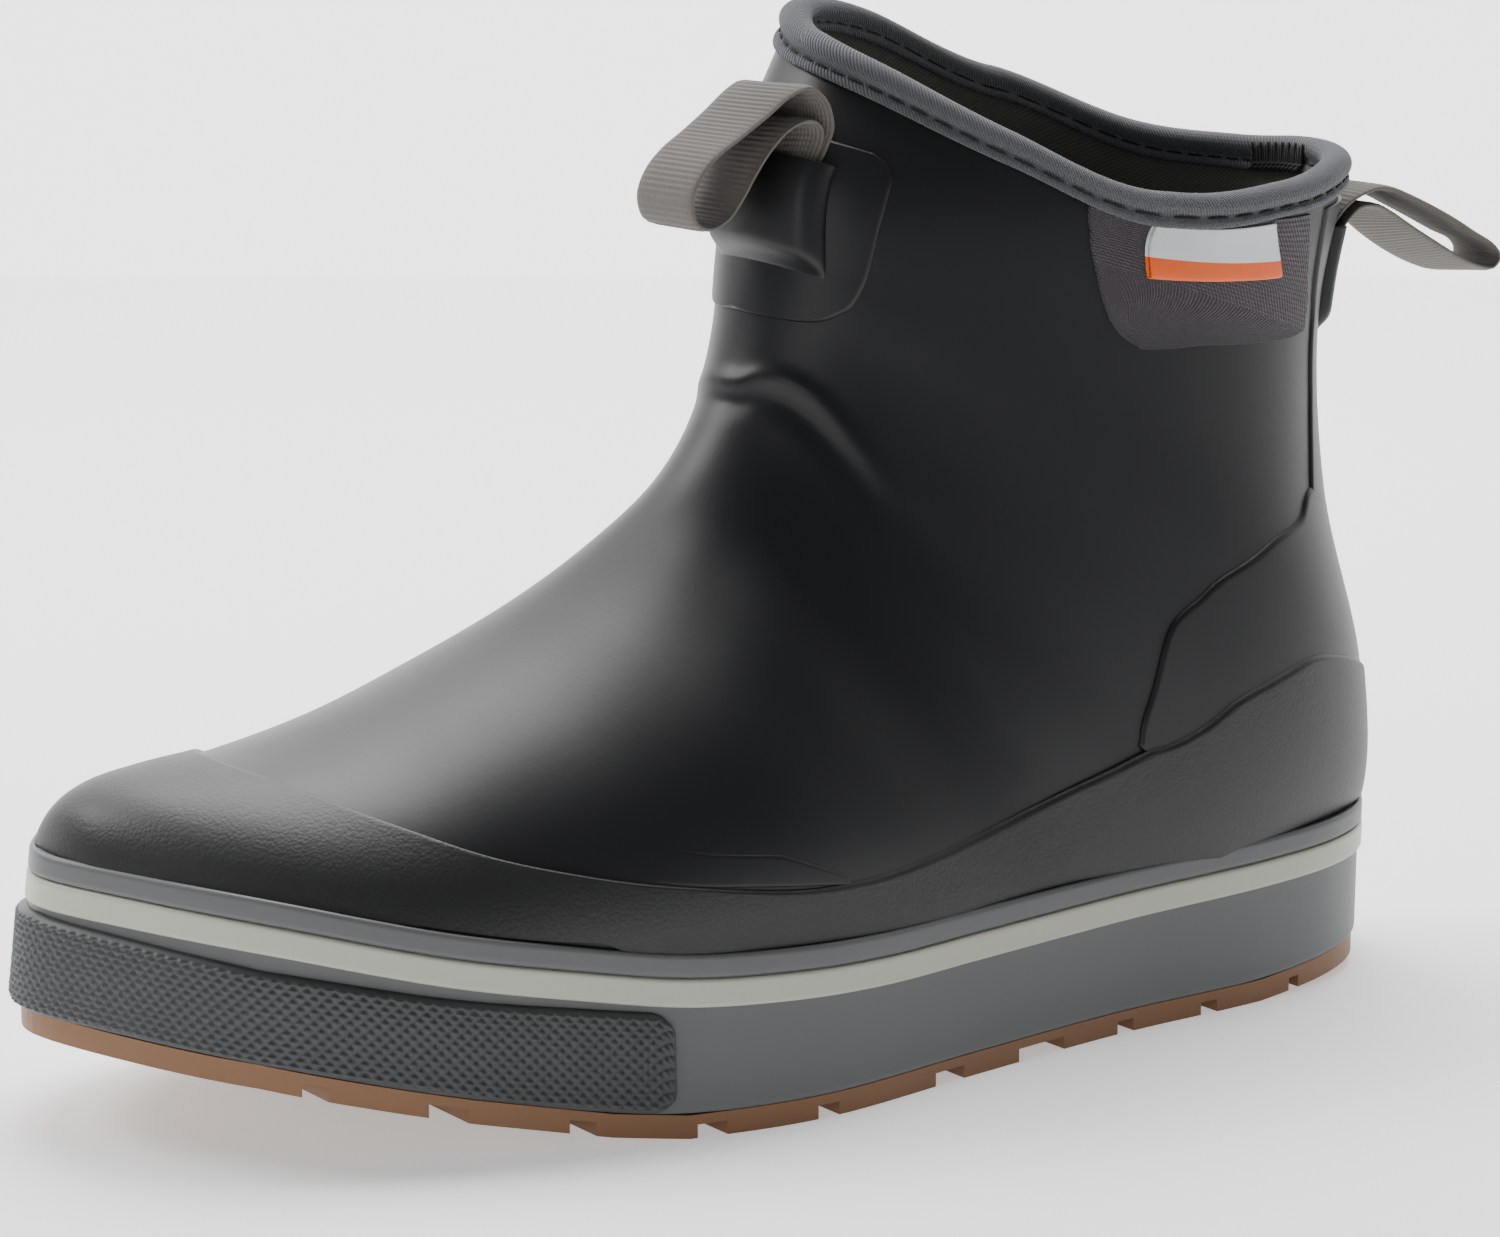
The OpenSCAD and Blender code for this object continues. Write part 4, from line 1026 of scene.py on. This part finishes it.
# %% Footbed and its top cloth
def floor_angle(u, h):
    """Degrees at which row u's wall is h mm above its lowest point."""
    i = np.minimum(u.astype(int), LAST - 2)
    f = u - i
    mid = [SECTIONS[i, c] * (1 - f) + SECTIONS[i + 1, c] * f for c in (7, 9)]
    tall = np.linalg.norm(SECTIONS[:, 0:2] - SECTIONS[:, 2:4], axis=1)
    tall = tall[i] * (1 - f) + tall[i + 1] * f
    share = np.minimum(h / tall, mid[0] * 0.98)
    return 180 - np.degrees(np.arccos((1 - share / mid[0]) ** (mid[1] / 2)))


def floor_pad(name, low, high, edge_height):
    u = np.linspace(2.2, 11.7, 90)[:, None]
    start = floor_angle(u, edge_height)
    a = start + (360 - 2 * start) * packed(60, 0.6)[None, :]
    thick = (high - low) * (0.25 + 0.75 * rounded(edge_distance(upper_point(u, a, low)), 3.0))
    return skin(name, upper_point(u, a, low + thick), upper_point(u, a, low))


PAD_UNDER, PAD_TOP, CLOTH_UNDER, CLOTH_TOP, PAD_EDGE = 5.4, 10.4, 10.42, 11.2, 7
footbed = floor_pad("footbed_pad", PAD_UNDER, PAD_TOP, PAD_EDGE)
place_piece(footbed, "boot", foam, "footbed_foam", "footbed")
topcloth = floor_pad("footbed_cloth", CLOTH_UNDER, CLOTH_TOP, PAD_EDGE)
place_piece(topcloth, "boot", top_knit, "footbed_cloth", "footbed_topcloth")

# %% [markdown]
# Overlocking is a bundle of crossed threads, so three short threads make each turn.

# %% Overlocked joint inside the back of the collar
pills = []
for j in range(22):
    a0 = 178 + 1.1 * j
    high, low = -1.1 - 0.5 * (j % 3), -6.0 - 0.7 * (j % 2)
    pills.append(pill(tape_point(a0, -5.3, low), tape_point(a0 + 1.6, -4.9, high), 0.42))
    pills.append(pill(tape_point(a0 + 1.2, -4.9, high), tape_point(a0 + 0.3, -5.5, low - 0.6), 0.36))
    pills.append(pill(tape_point(a0 - 0.8, -5.6, low + 0.5), tape_point(a0 + 2.2, -5.6, low), 0.4))
overlock = join_pills("collar_overlock", pills)
place_piece(overlock, "boot", thread, "thread")

# %% [markdown]
# ## Studio
# A pale floor in front of a white wall. One large soft light stands above and behind
# the boot, so that its shadow falls forward and the shaft's near side stays dark; one
# from the far toe side draws the broad highlight down the vamp.

# %% Floor, wall, lights and camera
def stage_plane(name, corners, colour, glow):
    mesh = bpy.data.meshes.new(name)
    mesh.from_pydata(corners, [], [(0, 1, 2, 3)])
    plane = bpy.data.objects.new(name, mesh)
    bpy.context.scene.collection.objects.link(plane)
    mat, tree, shader, place = finish(name + " paint", colour, 0.75, 0.1)
    shader.inputs["Emission Color"].default_value = (1, 1, 1, 1)
    shader.inputs["Emission Strength"].default_value = glow
    effect = add_group(tree, moulded, place.outputs["Object"], Fine_scale=40.0, Roughness=0.75,
                       Spread=0.05)
    tree.links.new(effect.outputs["Roughness"], shader.inputs["Roughness"])
    plane.data.materials.append(mat)
    return plane


PAPER, FLOOR_GLOW, WALL_GLOW = (0.93, 0.93, 0.93, 1), 0.5, 1.3
stage_plane("floor", [(-6, -6, 0), (6, -6, 0), (6, 6, 0), (-6, 6, 0)], PAPER, FLOOR_GLOW)
stage_plane("wall", [(-2.6, -1.6, 0), (0.4, 3.0, 0), (0.4, 3.0, 2.2), (-2.6, -1.6, 2.2)], PAPER,
            WALL_GLOW)

world = bpy.data.worlds.new("studio")
bpy.context.scene.world = world
world.use_nodes = True
background = world.node_tree.nodes["Background"]
background.inputs["Color"].default_value = (1, 1, 1, 1)
background.inputs["Strength"].default_value = 0.13


def softbox(name, where, aim, size, power):
    data = bpy.data.lights.new(name, "AREA")
    data.shape, data.size, data.size_y, data.energy = "RECTANGLE", size[0], size[1], power
    light = bpy.data.objects.new(name, data)
    light.location = where
    light.rotation_euler = (Vector(aim) - Vector(where)).to_track_quat("-Z", "Y").to_euler()
    bpy.context.scene.collection.objects.link(light)
    return light


softbox("overhead", (-0.5, 0.3, 1.35), (0, 0, 0.05), (1.2, 0.9), 34)
softbox("toe light", (-0.75, -0.8, 1.0), (0, -0.03, 0.09), (0.6, 0.5), 12)
softbox("near fill", (0.9, -1.2, 0.5), (0, 0, 0.03), (0.8, 0.5), 3)

camera = bpy.data.objects.new("camera", bpy.data.cameras.new("camera"))
bpy.context.scene.collection.objects.link(camera)
bpy.context.scene.camera = camera
azimuth, elevation, reach = math.radians(57), math.radians(10.6), 0.955
back = Vector((math.sin(azimuth) * math.cos(elevation), -math.cos(azimuth) * math.cos(elevation),
               math.sin(elevation)))
camera.location = Vector((0, 0.002, 0.083)) + back * reach
camera.rotation_euler = (-back).to_track_quat("-Z", "Y").to_euler()
camera.data.lens, camera.data.sensor_width = 116.2, 36
